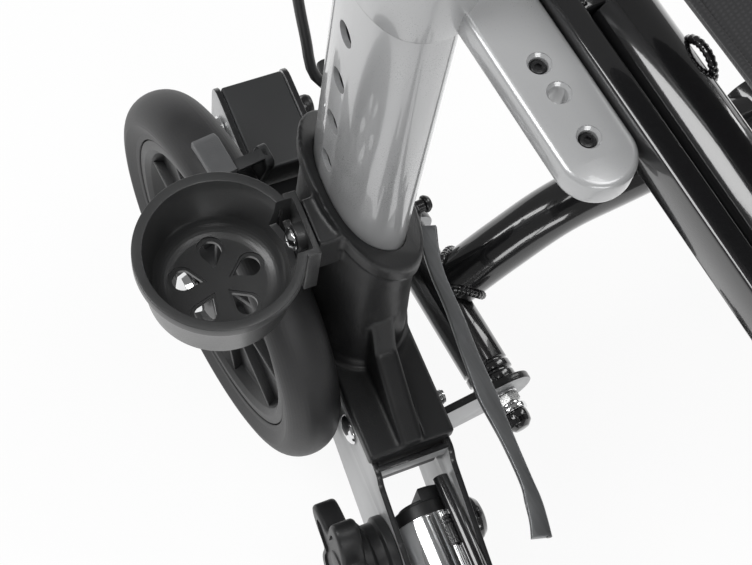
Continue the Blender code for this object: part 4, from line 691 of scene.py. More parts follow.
REAR_BOLT = (0.084, 0.092)
CLAMP_BOLT = (-0.156, 0.078)
HINGE = (-0.1935, 0.085)
HINGE_TUBE = (0.1035, 0.1985)
EAR_HALF = 0.017
flange_outline = softened([(0.103, 0.112), (0.103, 0.076), (0.095, 0.068), (-0.016, 0.066), (-0.130, 0.036),
                           (-0.205, 0.036), (-0.205, 0.081), (-0.1980, 0.0842), (-0.1325, 0.106),
                           (-0.1275, 0.112)], 0.010, 5, closed=True)
bolt_rings = [ring(*place, 0.0044) for place in (REAR_BOLT, FRONT_BOLT, CLAMP_BOLT)]
side_axis = SIDE.to_3x3() @ Vector((1, 0, 0))
# The flanges, the strip and the ears take the dark finish on their edges as painted dark reflection.
flanges = []
for low, high, middle in ((FLANGE_OUTER, FLANGE_INNER, 0.0037), (FAR_INNER, FAR_OUTER, 0.0085)):
    flange = side_plate(flange_outline, low, high, [*bolt_rings, ring(middle, 0.100, 0.0066)])
    flanges.append(painted_dark_edges(flange, side_axis))
strip = block((FLANGE_INNER - 0.001, -0.1265, BRACKET_TOP - 0.010),
              (FAR_INNER + 0.001, -0.1235, BRACKET_TOP), 0.0004,
              2, SIDE)
strip = painted_dark_edges(strip, SIDE.to_3x3() @ Vector((0, 1, 0)))
for front in (HINGE_TUBE[0] - 0.005, HINGE_TUBE[1] + 0.001):
    flange_x = -0.290 + (FAR_OUTER + sin(radians(7.2)) * (front + 0.002 - 0.215)) / cos(radians(7.2))
    half_turn = [(HINGE[0] + EAR_HALF * sin(pi * number / 24), HINGE[1] - EAR_HALF * cos(pi * number / 24))
                 for number in range(25)]
    ear_outline = [*half_turn, (flange_x - 0.0012, HINGE[1] + EAR_HALF),
                   (flange_x - 0.0012, HINGE[1] - EAR_HALF)]
    ear = across_plate(ear_outline, front, front + 0.004, [ring(*HINGE, 0.0044)])
    flanges.append(painted_dark_edges(ear, Vector((0, 1, 0))))
    for back in (front, front + 0.004):
        seam = [ROW @ Vector((flange_x + 0.0008, back, HINGE[1] + up)) for up in (-EAR_HALF, 0, EAR_HALF)]
        weld = bead(seam, 0.0015)
        for face in weld.data.polygons:
            face.material_index = 1
        flanges.append(weld)
bracket = merged(*flanges, strip)
bracket.data.materials.append(steel.material)
bracket.data.materials.append(dark_edge.material)
for side, obj in (("right", mirror_copy(bracket)), ("left", bracket)):
    add_piece(obj, "wheel_bracket_" + side, None, "pale_satin_steel", side + "_frame",
              side + "_wheel_bracket")

LEVER_PIVOT = (-0.2015, 0.1860)
LEVER_Z = 0.150
LEVER_EYE_HALF = 0.0022
lug_left = LEVER_PIVOT[0] - LEVER_EYE_HALF - 0.0039
rear_ear = HINGE_TUBE[1] + 0.001
lug = along_plate(softened([(rear_ear + 0.002, 0.099), (rear_ear + 0.002, 0.1095),
                            (LEVER_PIVOT[1] + 0.006, 0.156),
                            (LEVER_PIVOT[1] - 0.006, 0.156), (LEVER_PIVOT[1] - 0.007, 0.144),
                            (LEVER_PIVOT[1], 0.099)],
                           0.0030, 4, True), lug_left, lug_left + 0.0036)
pin_matrix = axis_at(ROW @ Vector((lug_left + 0.002, LEVER_PIVOT[1], LEVER_Z)), (1, 0, 0))
pin_head = 0.0022 + 2 * LEVER_EYE_HALF
lug_pin = turned([(0, 0), (0.0032, 0), (0.0032, pin_head), (0.0045, pin_head), (0.0045, pin_head + 0.0016),
                  (0.0032, pin_head + 0.0036), (0, pin_head + 0.0042)], pin_matrix, 32, edge=0.0012)
add_piece(merged(lug, lug_pin), "lever_lug", dark_edge, "pale_satin_steel", "left_frame")


# Rear blocks
# A black plastic spacer fills the bracket's rear end between the flanges. Its top is flat and satin, with
# rounded ends, and the rear bolt draws the flanges against it.
spacer = block((FLANGE_INNER + 0.0003, 0.045, 0.074), (FAR_INNER - 0.0003, 0.099, BRACKET_TOP - 0.001),
               0.0016, 4, SIDE)
hole = rod(in_side(-0.02, *REAR_BOLT), in_side(0.10, *REAR_BOLT), 0.0045)
satin_black = Finish("satin_black", (0.030, 0.031, 0.032), 0.42)
fine_grain = satin_black.noise(1800.0, 2.0)
satin_black.set("Roughness", fine_grain * 0.12 + satin_black.noise(40.0) * 0.10 + 0.32)
satin_black.relief(fine_grain, 0.00006, 0.8)
add_pair(combined(spacer, [hole], "DIFFERENCE"), "rear_block", satin_black, "black_plastic", "frame",
         "rear_block")


# Bracket bolts
# Chrome-plated dome-headed bolts pass through the flanges, with pressed hex nuts on the inboard side. The
# rear one ends in a black push-on cap.
def hex_nut(matrix, across, height, chamfer=0.0006):
    """Hexagonal nut with turned chamfers on both faces."""
    bm = bmesh.new()
    radius = across / 2 / cos(pi / 6)
    bmesh.ops.create_cone(bm, cap_ends=True, segments=6, radius1=radius, radius2=radius, depth=height)
    bmesh.ops.translate(bm, vec=(0, 0, height / 2), verts=bm.verts)
    nut = loose(bm, matrix)
    lens = turned([(0, 0), (across / 2, 0), (radius + 0.0001, chamfer), (radius + 0.0001, height - chamfer),
                   (across / 2, height), (0, height)], matrix, 48, edge=0)
    return combined(nut, [lens], "INTERSECT")


def threaded(matrix, radius, length, pitch=0.0010):
    """Bare end of a bolt, with the ridges of its thread and a chamfered tip."""
    profile = [(0, 0)]
    along = 0.0
    while along < length - pitch:
        profile += [(radius, along), (radius - 0.0004, along + pitch / 2)]
        along += pitch
    return turned([*profile, (radius - 0.0006, length), (0, length)], matrix, 32, edge=0)


chrome = Finish("chrome_plate", (0.80, 0.805, 0.81), 0.07, metallic=1.0)
smear = chrome.noise(60.0, 4.0)
chrome.set("Roughness", smear * 0.10 + chrome.noise(900.0, 2.0) * 0.04 + 0.02)
zinc = Finish("bright_zinc", (0.60, 0.605, 0.60), 0.26, metallic=1.0)
zinc_cloud = zinc.noise(300.0, 4.0)
zinc.set("Base Color", zinc.blend(zinc_cloud, (0.50, 0.505, 0.50), (0.68, 0.68, 0.675)))
zinc.set("Roughness", zinc_cloud * 0.22 + 0.16)
zinc.relief(zinc_cloud, 0.00004, 0.5)

for name, place, head, head_radius, capped in (("rear_bolt", REAR_BOLT, 0.0195, 0.0085, True),
                                               ("front_bolt", FRONT_BOLT, 0.0247, 0.0078, False)):
    at_flange = SIDE @ Matrix.Translation((0, *place)) @ Matrix.Rotation(radians(90), 4, "Y")
    rise = FLANGE_OUTER - 0.0003 - head
    dome = turned([(0, head), (0.40 * head_radius, head + 0.06 * rise),
                   (0.70 * head_radius, head + 0.24 * rise),
                   (0.90 * head_radius, head + 0.52 * rise), (head_radius, head + 0.85 * rise),
                   (head_radius, FLANGE_OUTER - 0.0003), (0.0040, FLANGE_OUTER - 0.0003),
                   (0.0040, FAR_OUTER + 0.0004),
                   (0, FAR_OUTER + 0.0004)], at_flange, 48, edge=0.0010)
    washer = turned([(0.0042, FAR_OUTER + 0.0003), (0.0072, FAR_OUTER + 0.0003),
                     (0.0072, FAR_OUTER + 0.0012),
                     (0.0042, FAR_OUTER + 0.0012)], at_flange, 40, closed=True, edge=0.0002)
    nut = hex_nut(at_flange @ Matrix.Translation((0, 0, FAR_OUTER + 0.0012)), 0.0112, 0.0042)
    end = threaded(at_flange @ Matrix.Translation((0, 0, FAR_OUTER + 0.0052)), 0.0039, 0.0044)
    add_pair(merged(dome, washer, end), name, chrome, "chrome", "frame", name)
    if capped:
        cap = turned([(0, 0), (0.0062, 0), (0.0062, 0.0040), (0.0050, 0.0062), (0, 0.0070)],
                     at_flange @ Matrix.Translation((0, 0, FAR_OUTER + 0.0032)), 40, edge=0.0014)
        add_pair(merged(nut), name + "_nut", zinc, "chrome", "frame")
        add_pair(cap, name + "_cap", moulded, "chrome", "frame")
    else:
        add_pair(nut, name + "_nut", zinc, "chrome", "frame")


# Rear axles
# A turned steel axle with a domed outer cap, and a spacer collar between wheel and bracket. A nut on its
# threaded inboard end holds it in the flanges.
CROSSWISE = Matrix.Rotation(radians(90), 4, "Y")
at_axle = Matrix.Translation(wheel_axle) @ CROSSWISE
collar_end = FLANGE_OUTER / cos(radians(7.2)) - 0.0022
axle_nut = FAR_OUTER / cos(radians(7.2)) + 0.0018
axle = turned([(0, -0.0275), (0.0060, -0.0268), (0.0100, -0.0240), (0.0110, -0.0205), (0.0110, -0.0190),
               (0.0060, -0.0190), (0.0060, 0.0180), (0.0105, 0.0180), (0.0105, collar_end),
               (0.0060, collar_end),
               (0.0060, axle_nut), (0, axle_nut)], at_axle, 48, edge=0.0008)
axle_end = threaded(at_axle @ Matrix.Translation((0, 0, axle_nut)), 0.0048, 0.0098)
nut = hex_nut(at_axle @ Matrix.Translation((0, 0, axle_nut)), 0.0170, 0.0072, 0.0010)
add_pair(merged(axle, axle_end), "rear_axle", chrome, "chrome", "frame", "rear_axle")
add_pair(nut, "rear_axle_nut", zinc, "chrome", "frame")


# Wheels
# Solid black rubber tyres with a broad rounded tread, pressed on one-piece black plastic centres with a
# recessed, ribbed web. The rear pair runs on the bracket's axle.
rubber = Finish("tyre_rubber", (0.022, 0.022, 0.023), 0.52)
rubber_grain = rubber.noise(1100.0, 3.0)
rubber_dust = rubber.noise(30.0, 5.0)
rubber.set("Base Color", rubber.blend(rubber_dust.above(0.45, 0.35), (0.018, 0.018, 0.019),
                                      (0.034, 0.034, 0.035)))
rubber.set("Roughness", rubber_dust * 0.16 + rubber_grain * 0.08 + 0.38)
rubber.relief(rubber_grain, 0.00010, 0.7)


def tyre(radius, width, depth, matrix):
    half = width / 2
    flank = [(radius - depth, half * 0.78), (radius - depth + 0.003, half * 0.80),
             (radius - 0.0130, half * 0.97),
             (radius - 0.0118, half)]
    tread = [(radius - 0.0118 * (1 - cos(radians(angle))),
              half * sin(radians(angle))) for angle in range(80, -1, -8)]
    half_profile = [*flank, *tread]
    profile = half_profile + [(away, -along) for away, along in half_profile[-2::-1]]
    return turned(profile, matrix, 128, closed=True, edge=0.0007)


def wheel_centre(radius, half_hub, hole, ribs, matrix):
    """Rim ring, thin web and hub, with upright ribs from the hub to the ring on both faces."""
    ring_half = half_hub * 0.66
    web = 0.0030
    profile = [(hole, -half_hub), (0.0170, -half_hub), (0.0192, -half_hub + 0.004), (0.0200, -web),
               (radius - 0.0105, -web), (radius - 0.0080, -ring_half * 0.8), (radius - 0.0050, -ring_half),
               (radius, -ring_half), (radius, ring_half), (radius - 0.0050, ring_half),
               (radius - 0.0080, ring_half * 0.8), (radius - 0.0105, web), (0.0200, web),
               (0.0192, half_hub - 0.004), (0.0170, half_hub), (hole, half_hub)]
    parts = [turned(profile, None, 96, closed=True, edge=0.0010)]
    for number in range(ribs):
        rib_block = block((0.0165, -0.0013, -ring_half * 0.72), (radius - 0.0068, 0.0013, ring_half * 0.72),
                          0.0006, 2)
        rib_block.data.transform(Matrix.Rotation(2 * pi * (number + 0.5) / ribs, 4, "Z"))
        parts.append(rib_block)
    centre = merged(*parts)
    centre.data.transform(matrix)
    return centre


WHEEL_RADIUS = 0.100
TYRE_DEPTH = 0.021
add_pair(tyre(WHEEL_RADIUS, 0.029, TYRE_DEPTH, at_axle), "rear_tyre", rubber, "tyre_rubber", "rear_wheel",
         "rear_tyre")
rear_centre = wheel_centre(WHEEL_RADIUS - TYRE_DEPTH - 0.0003, 0.0165, 0.0065, 9, at_axle)
add_pair(rear_centre, "rear_wheel_centre", moulded, "black_plastic", "rear_wheel", "rear_rim")


# Front casters
# The same make of wheel, smaller, turns in a black painted steel fork whose stem swivels in the silver head.
# The axle is a bolt with a dome head and a hex nut.
CASTER_RADIUS = 0.090
CASTER_WIDTH = 0.030
CASTER_TRAIL = 0.035
HEAD_BOTTOM = 0.207
HEAD_TOP = 0.270
head_foot = in_side(0.0485, -0.470, 0)
caster_axle = Vector((head_foot.x, head_foot.y + CASTER_TRAIL, CASTER_RADIUS))
at_caster = Matrix.Translation(caster_axle) @ CROSSWISE
caster_tyre = tyre(CASTER_RADIUS, CASTER_WIDTH, 0.018, at_caster)
caster_centre = wheel_centre(CASTER_RADIUS - 0.0183, CASTER_WIDTH / 2, 0.0045, 8, at_caster)
add_pair(caster_tyre, "caster_tyre", rubber, "tyre_rubber", "front_wheel", "caster_wheel")
add_pair(caster_centre, "caster_centre", moulded, "tyre_rubber", "front_wheel")

gloss_black = Finish("gloss_black_paint", (0.010, 0.010, 0.011), 0.16, coat=1.0, coat_roughness=0.03)
peel = gloss_black.noise(520.0, 2.0)
handling = gloss_black.noise(20.0, 4.0)
gloss_black.set("Base Color", gloss_black.blend(handling, (0.0085, 0.0085, 0.0090),
                                                (0.0140, 0.0140, 0.0150)))
gloss_black.set("Roughness", handling * 0.10 + 0.11)
gloss_black.relief(peel, 0.00005, 0.5)

FORK_INNER = CASTER_WIDTH / 2 + 0.0035
FORK_OUTER = FORK_INNER + 0.005
head_x, head_y = head_foot.x, head_foot.y
crown_top = HEAD_BOTTOM - 0.001
crown_bottom = 2 * CASTER_RADIUS + 0.009
stem = turned([(0, HEAD_TOP - 0.008), (0.008, HEAD_TOP - 0.009), (0.008, crown_top), (0.021, crown_top),
               (0.024, crown_top - 0.004), (0.024, crown_bottom), (0, crown_bottom)],
              Matrix.Translation((head_x, head_y, 0)), 48, edge=0.0012)
eye = [(head_y + CASTER_TRAIL + 0.0145 * cos(pi * number / 24),
        CASTER_RADIUS - 0.0145 * sin(pi * number / 24))
       for number in range(25)]
leg_outline = softened([(head_y + 0.022, crown_top - 0.004), (head_y - 0.022, crown_top - 0.004),
                        (head_y - 0.022, crown_bottom - 0.006), *eye[::-1],
                        (head_y + 0.034, crown_bottom - 0.010)],
                       0.010, 5, True)
fork_legs = []
for low, high in ((head_x - FORK_OUTER, head_x - FORK_INNER), (head_x + FORK_INNER, head_x + FORK_OUTER)):
    fork_legs.append(plate(leg_outline, low, high, UPRIGHT, edge=0.0012))
crown = block((head_x - FORK_OUTER, head_y - 0.022, crown_bottom),
              (head_x + FORK_OUTER, head_y + 0.022, crown_top - 0.004),
              0.0022, 4)
fork = filleted(merged(stem, crown, *fork_legs), 0.0009, 3)
add_pair(fork, "caster_fork", gloss_black, "black_gloss_paint", "caster", "caster_fork")
bolt = turned([(0, -FORK_OUTER - 0.0030), (0.0040, -FORK_OUTER - 0.0026), (0.0065, -FORK_OUTER - 0.0006),
               (0.0065, -FORK_OUTER + 0.0010), (0.0040, -FORK_OUTER + 0.0010), (0.0040, FORK_OUTER),
               (0, FORK_OUTER)],
              at_caster, 40, edge=0.0006)
nut = hex_nut(at_caster @ Matrix.Translation((0, 0, FORK_OUTER - 0.0004)), 0.0110, 0.0034)
add_pair(merged(bolt, nut), "caster_bolt", zinc, "black_gloss_paint", "caster")


# Caster heads and struts
# A silver-lacquered bearing head with a pressed cap, the sleeve for the leg tube welded into its side, and a
# slim tubular strut that rises from it to the front end of the seat rail.
LEG_TOP = 0.240
LEG_RADIUS = 0.016
BRACKET_MIDDLE = 0.0485


def bent(corners, radii, steps=12):
    """Straight lines between the corners, with a circular bend of the given radius at each inner one."""
    corners = [Vector(corner) for corner in corners]
    route = [corners[0]]
    for before, corner, after, radius in zip(corners, corners[1:], corners[2:], radii):
        into, out = (corner - before).normalized(), (after - corner).normalized()
        angle = into.angle(out)
        start = corner - into * radius * sin(angle / 2) / cos(angle / 2)
        side = (out - into * into.dot(out)).normalized()
        for step in range(steps + 1):
            turn = angle * step / steps
            route.append(start + into * radius * sin(turn) + side * radius * (1 - cos(turn)))
    return [*route, corners[-1]]


at_head = Matrix.Translation((head_x, head_y, 0))
bearing_bore = 0.0085
head_tube = turned([(0, HEAD_TOP), (0.0150, HEAD_TOP), (0.0200, HEAD_TOP - 0.0010),
                    (0.0220, HEAD_TOP - 0.0025),
                    (0.0220, HEAD_TOP - 0.0105), (0.0212, HEAD_TOP - 0.0110), (0.0212, HEAD_BOTTOM + 0.0075),
                    (0.0220, HEAD_BOTTOM + 0.0070), (0.0220, HEAD_BOTTOM + 0.0010), (0.0210, HEAD_BOTTOM),
                    (bearing_bore, HEAD_BOTTOM), (bearing_bore, HEAD_TOP - 0.0070), (0, HEAD_TOP - 0.0070)],
                   at_head, 56, edge=0.0005)
sleeve = turned([(0.0168, 0.0200), (LEG_RADIUS + 0.0035, 0.0200), (LEG_RADIUS + 0.0035, 0.0400),
                 (0.0168, 0.0400)],
                axis_at(in_side(BRACKET_MIDDLE, -0.470, LEG_TOP), SIDE.to_3x3() @ Vector((0, 1, 0))), 48,
                closed=True)
SEAT_HINGE = (-0.1935, 0.400)
RAIL_RADIUS = 0.010
ARM_X = -0.2315
ARM_RADIUS = 0.014
RAIL_FRONT = -0.120
strut_top = ROW @ Vector(((ARM_X + ARM_RADIUS + SEAT_HINGE[0] - RAIL_RADIUS) / 2, RAIL_FRONT + 0.022,
                          SEAT_HINGE[1] - RAIL_RADIUS - 0.0003))
strut_foot = Vector((head_x, head_y, HEAD_TOP - 0.003))
rise = Vector((0, 0, 0.030))
strut = pipe(bent([strut_foot, strut_foot + rise, strut_top - rise, strut_top], (0.030, 0.030)), 0.0095, 8)
foot_weld = bead([strut_foot + Vector((0.0100 * cos(turn), 0.0100 * sin(turn), 0.0032))
                  for turn in (2 * pi * number / 12 for number in range(13))], 0.0014)
add_pair(merged(head_tube, sleeve, strut, foot_weld), "head_and_strut", silver, "silver_grey_paint", "frame",
         "head_and_strut")


# Brake shoes
# A small moulded grey block bears on the tread. It sits on an upright black arm, which turns on a pin in the
# bracket and is drawn by the cable.
shoe_matt = Finish("grey_moulding", (0.105, 0.107, 0.110), 0.45)
shoe_grain = shoe_matt.noise(1300.0, 3.0)
shoe_scuff = shoe_matt.noise(90.0, 5.0)
shoe_matt.set("Base Color", shoe_matt.blend(shoe_scuff, (0.080, 0.082, 0.085), (0.135, 0.137, 0.140)))
shoe_matt.set("Roughness", shoe_scuff * 0.20 + 0.34)
shoe_matt.relief(shoe_grain, 0.00012, 0.8)
BRAKE_PIVOT = (0.245, 0.092)
arm_x = -0.290 + 0.0195
arm_outline = softened([(0.236, 0.084), (0.254, 0.084), (0.253, 0.112), (0.2400, 0.1550), (0.2250, 0.2060),
                        (0.2130, 0.2060), (0.2280, 0.1500)], 0.004, 4, True)
shoe_arm = along_plate(arm_outline, arm_x - 0.0020, arm_x + 0.0020)
reach = WHEEL_RADIUS + 0.0030
under = [(0.215 + reach * cos(radians(angle)),
          WHEEL_RADIUS + reach * sin(radians(angle))) for angle in range(76, 90)]
shoe = along_plate([*under, (under[-1][0], 0.2085), (under[0][0] - 0.004, 0.2075), (under[0][0], 0.2045)],
                   -0.2985,
                   -0.2865, edge=0.0009)
tie = block((-0.2875, 0.2170, 0.2032), (arm_x + 0.0010, 0.2230, 0.2060), 0.0006, 2, ROW)
flange_x = -0.290 + (FLANGE_OUTER + sin(radians(7.2)) * (BRAKE_PIVOT[0] - 0.215)) / cos(radians(7.2))
brake_pin = turned([(0, 0), (0.0062, 0), (0.0068, 0.0010), (0.0068, 0.0030), (0.0050, 0.0030),
                    (0.0050, flange_x - 0.001 - arm_x + 0.0050), (0, flange_x - 0.001 - arm_x + 0.0050)],
                   axis_at(ROW @ Vector((arm_x - 0.0050, *BRAKE_PIVOT)), (1, 0, 0)), 32)
add_pair(shoe, "brake_shoe", shoe_matt, "grey_plastic", "brake", "brake_shoe")
add_pair(merged(shoe_arm, tie, brake_pin), "brake_arm", satin_black, "grey_plastic", "brake")


# Leg tubes
# Chromed steel tube, pinched between the flanges by the knob. It runs forward, bends up behind the caster and
# ends in the head's sleeve. A round black rod is welded along its upper inboard side.
LEG_HEIGHT = 0.079
LEG_START = 0.150
leg_corners = [in_side(BRACKET_MIDDLE, -back, height) for back, height in
               ((LEG_START, LEG_HEIGHT), (0.284, LEG_HEIGHT), (0.331, LEG_TOP), (0.4495, LEG_TOP))]
leg = pipe(bent(leg_corners, (0.050, 0.050), 16), LEG_RADIUS, 9)
bore = rod(in_side(BRACKET_MIDDLE, -LEG_START + 0.01, LEG_HEIGHT),
           in_side(BRACKET_MIDDLE, -LEG_START - 0.02, LEG_HEIGHT),
           LEG_RADIUS - 0.0014)
stud_hole = rod(in_side(-0.02, *CLAMP_BOLT), in_side(0.10, *CLAMP_BOLT), 0.0044)
leg = combined(leg, [bore, stud_hole], "DIFFERENCE")
lip = turned([(LEG_RADIUS - 0.0014, 0.0012), (LEG_RADIUS, 0.0012), (LEG_RADIUS, 0),
              (LEG_RADIUS - 0.0014, 0)],
             SIDE @ Matrix.Translation((BRACKET_MIDDLE, -LEG_START,
                                        LEG_HEIGHT)) @ Matrix.Rotation(radians(90), 4, "X"),
             64, closed=True, edge=0.0006)
add_pair(merged(leg, lip), "leg_tube", chrome, "chrome", "frame", "leg_tube")

ROD_RADIUS = 0.0040
rod_away = LEG_RADIUS + ROD_RADIUS - 0.0012
ROD_TURN = radians(43)
rod_across = BRACKET_MIDDLE + rod_away * sin(ROD_TURN)
rod_height = LEG_HEIGHT + rod_away * cos(ROD_TURN)
stop_rod = rod(in_side(rod_across, -0.134, rod_height), in_side(rod_across, -0.250, rod_height), ROD_RADIUS,
               0.0005)
add_pair(stop_rod, "stop_rod", gloss_black, "chrome", "frame")
seams = []
for turn in (ROD_TURN - 0.29, ROD_TURN + 0.29):
    seam_across = BRACKET_MIDDLE + (LEG_RADIUS + 0.0006) * sin(turn)
    seam_height = LEG_HEIGHT + (LEG_RADIUS + 0.0006) * cos(turn)
    for start, end in ((-0.153, -0.168), (-0.220, -0.240)):
        seams.append(bead([in_side(seam_across, start, seam_height),
                           in_side(seam_across, (start + end) / 2, seam_height),
                           in_side(seam_across, end, seam_height)], 0.0016))
add_pair(merged(*seams), "rod_weld", dark_edge, "chrome", "frame")


# Tube plugs and clamp hardware
# The tube's open end is shut by a stepped black plug. A five-lobed knob with a moulded-in stud clamps the
# tube between the flanges, against a domed cap nut on the inboard side.
def square_plate(outline, low, high, holes=(), edge=0.0005):
    """Upright plate square to the side frame's length: outline in (across, height), low and high behind."""
    turn = Matrix(((1, 0, 0, 0), (0, 0, -1, 0), (0, 1, 0, 0), (0, 0, 0, 1)))
    return plate(outline, -high, -low, SIDE @ turn, holes, edge)


disc = square_plate(ring(BRACKET_MIDDLE, LEG_HEIGHT, LEG_RADIUS - 0.0020, 64), -LEG_START - 0.0060,
                    -LEG_START + 0.0075,
                    edge=0.0008)
half_disc = [(BRACKET_MIDDLE + 0.001 + 0.0130 * sin(radians(angle)),
              LEG_HEIGHT + 0.0130 * cos(radians(angle)))
             for angle in range(-6, 187, 6)]
step = square_plate(half_disc, -LEG_START + 0.0060, -LEG_START + 0.0145, edge=0.0010)
mid_step = square_plate(ring(BRACKET_MIDDLE + 0.0004, LEG_HEIGHT, 0.0112, 48), -LEG_START + 0.0060,
                        -LEG_START + 0.0092,
                        edge=0.0006)
add_pair(merged(disc, mid_step, step), "tube_plug", moulded, "black_plastic", "frame", "tube_plug")

at_clamp = SIDE @ Matrix.Translation((0, *CLAMP_BOLT)) @ Matrix.Rotation(radians(90), 4, "Y")
face = FAR_OUTER + 0.0003
cap = turned([(0, face + 0.0045), (0.0043, face + 0.0045), (0.0043, face), (0.0112, face),
              (0.0112, face + 0.0040),
              (0.0090, face + 0.0066), (0.0050, face + 0.0080), (0, face + 0.0084)], at_clamp, 48,
             edge=0.0010)
add_pair(cap, "clamp_cap", gloss_black, "black_gloss_paint", "frame", "clamp_cap")

lobes = []
for number in range(160):
    turn = 2 * pi * number / 160
    lobe = 0.0270 + 0.0070 * cos(5 * turn)
    lobes.append((CLAMP_BOLT[0] + lobe * cos(turn), CLAMP_BOLT[1] + lobe * sin(turn)))
star = side_plate(lobes, -0.0010, 0.0110, edge=0.0020)
inner_lobes = [(CLAMP_BOLT[0] + 0.78 * (back - CLAMP_BOLT[0]),
                CLAMP_BOLT[1] + 0.78 * (height - CLAMP_BOLT[1]))
               for back, height in lobes]
star = combined(star, [side_plate(inner_lobes, -0.0100, 0.0002, edge=0)], "DIFFERENCE")
hub = turned([(0, -0.0009), (0.0090, -0.0006), (0.0100, 0.0008), (0.0185, 0.0010), (0.0185, 0.0150),
              (0.0160, 0.0165),
              (0.0160, 0.0215), (0.0180, 0.0230), (0.0180, FLANGE_OUTER - 0.0003),
              (0.0040, FLANGE_OUTER - 0.0003),
              (0.0040, FAR_OUTER + 0.0042), (0, FAR_OUTER + 0.0042)], at_clamp, 64, edge=0.0008)
add_pair(merged(star, hub), "star_knob", moulded, "black_plastic", "knob", "star_knob")


# Hinge bolts
# A long bolt joins the bracket's ears to the hinge tube. At the front it carries a hex nut, a plated washer
# and a black domed end cap, and at the rear it has a low domed head.
AT_HINGE = ROW @ Matrix.Translation((HINGE[0], 0, HINGE[1])) @ Matrix.Rotation(radians(-90), 4, "X")
bolt_front = HINGE_TUBE[0] - 0.0053
bolt_rear = HINGE_TUBE[1] + 0.0053
shank = turned([(0, bolt_front - 0.0115), (0.0040, bolt_front - 0.0115), (0.0040, bolt_rear),
                (0.0070, bolt_rear),
                (0.0070, bolt_rear + 0.0030), (0.0045, bolt_rear + 0.0060), (0, bolt_rear + 0.0068)],
               AT_HINGE, 40)
washers = [turned([(0.0041, bolt_front - near), (outer, bolt_front - near), (outer, bolt_front - far),
                   (0.0041, bolt_front - far)], AT_HINGE, 40, closed=True, edge=0.0003)
           for near, far, outer in ((0.0000, 0.0011, 0.0078), (0.0062, 0.0078, 0.0066),
                                    (0.0082, 0.0110, 0.0082))]
add_pair(merged(shank, *washers), "hinge_bolt", chrome, "chrome", "frame", "hinge_bolt")
nut = hex_nut(AT_HINGE @ Matrix.Translation((0, 0, bolt_front - 0.0062)), 0.0132, 0.0050)
add_pair(nut, "hinge_nut", zinc, "chrome", "frame")
dome = turned([(0, bolt_front - 0.0205), (0.0038, bolt_front - 0.0200), (0.0064, bolt_front - 0.0178),
               (0.0070, bolt_front - 0.0150), (0.0070, bolt_front - 0.0111), (0, bolt_front - 0.0111)],
              AT_HINGE, 48,
              edge=0.0010)
add_pair(dome, "hinge_cap", gloss_black, "chrome", "frame")


# Cross links
# Two black painted tubes, one behind the other, arch to a pin in the middle, and each is welded to a hinge
# tube on the inboard face of a bracket. Rippled weld goes round the joint.
BRACE_PIN = 0.125
CROSS_RADIUS = 0.014
for side, side_name, back in ((-1, "left", 0.163), (1, "right", 0.134)):
    x = side * -HINGE[0]
    at_barrel = ROW @ Matrix.Translation((x, 0, HINGE[1])) @ Matrix.Rotation(radians(-90), 4, "X")
    front, rear = HINGE_TUBE
    barrel = turned([(0.0043, front), (0.0119, front), (0.0119, front + 0.0040), (0.0112, front + 0.0046),
                     (0.0112, front + 0.0058), (0.0125, front + 0.0064), (0.0125, front + 0.0098),
                     (0.0116, front + 0.0104), (0.0116, front + 0.0114), (0.0125, front + 0.0120),
                     (0.0125, rear),
                     (0.0043, rear)], at_barrel, 64, closed=True, edge=0.0004)
    route = [ROW @ Vector(point) for point in
             ((x - side * 0.0075, back, HINGE[1] + 0.0050), (x - side * 0.035, back, HINGE[1] + 0.0245),
              (x - side * 0.066, back, HINGE[1] + 0.0405), (x - side * 0.105, back, BRACE_PIN + 0.001),
              (side * 0.0088, back, BRACE_PIN))]
    arch = pipe(smooth_route(route, 0.004), CROSS_RADIUS, 9)
    eye = turned([(0.0053, -CROSS_RADIUS), (CROSS_RADIUS + 0.0015, -CROSS_RADIUS),
                  (CROSS_RADIUS + 0.0015, CROSS_RADIUS), (0.0053, CROSS_RADIUS)],
                 axis_at(ROW @ Vector((0, back, BRACE_PIN)), (0, 1, 0)), 48, closed=True, edge=0.0006)
    into = (route[1] - route[0]).normalized()
    across = into.cross(Vector((0, 1, 0))).normalized()
    seam = []
    for number in range(49):
        turn = 2 * pi * number / 48
        spread = CROSS_RADIUS + 0.0005
        centre = route[0] + spread * (across * cos(turn) + Vector((0, 1, 0)) * sin(turn))
        out = centre - Vector((ROW @ Vector((x, 0, HINGE[1]))).to_tuple())
        out.y = 0
        along = into * max(0.0, (0.0130 ** 2 - (spread * cos(turn)) ** 2)) ** 0.5
        seam.append(centre + along * (0.70 if abs(cos(turn)) < 0.95 else 0.5))
    weld = bead(seam, 0.0021)
    if side < 0:
        far = 2 * CROSS_RADIUS + 0.001 + CROSS_RADIUS + 0.0005
        link_pin = turned([(0, -CROSS_RADIUS - 0.0030), (0.0060, -CROSS_RADIUS - 0.0026),
                           (0.0080, -CROSS_RADIUS - 0.0012),
                           (0.0080, -CROSS_RADIUS + 0.001), (0.0050, -CROSS_RADIUS + 0.001), (0.0050, far),
                           (0.0085, far),
                           (0.0085, far + 0.0030), (0.0050, far + 0.0048), (0, far + 0.0050)],
                          axis_at(ROW @ Vector((0, back, BRACE_PIN)), (0, -1, 0)), 40)
        add_piece(link_pin, "cross_pin", zinc, "black_gloss_paint", "left_cross")
    add_piece(merged(barrel, arch, eye, weld), "cross_link_" + side_name, gloss_black, "black_gloss_paint",
              side_name + "_cross", side_name + "_cross_link")
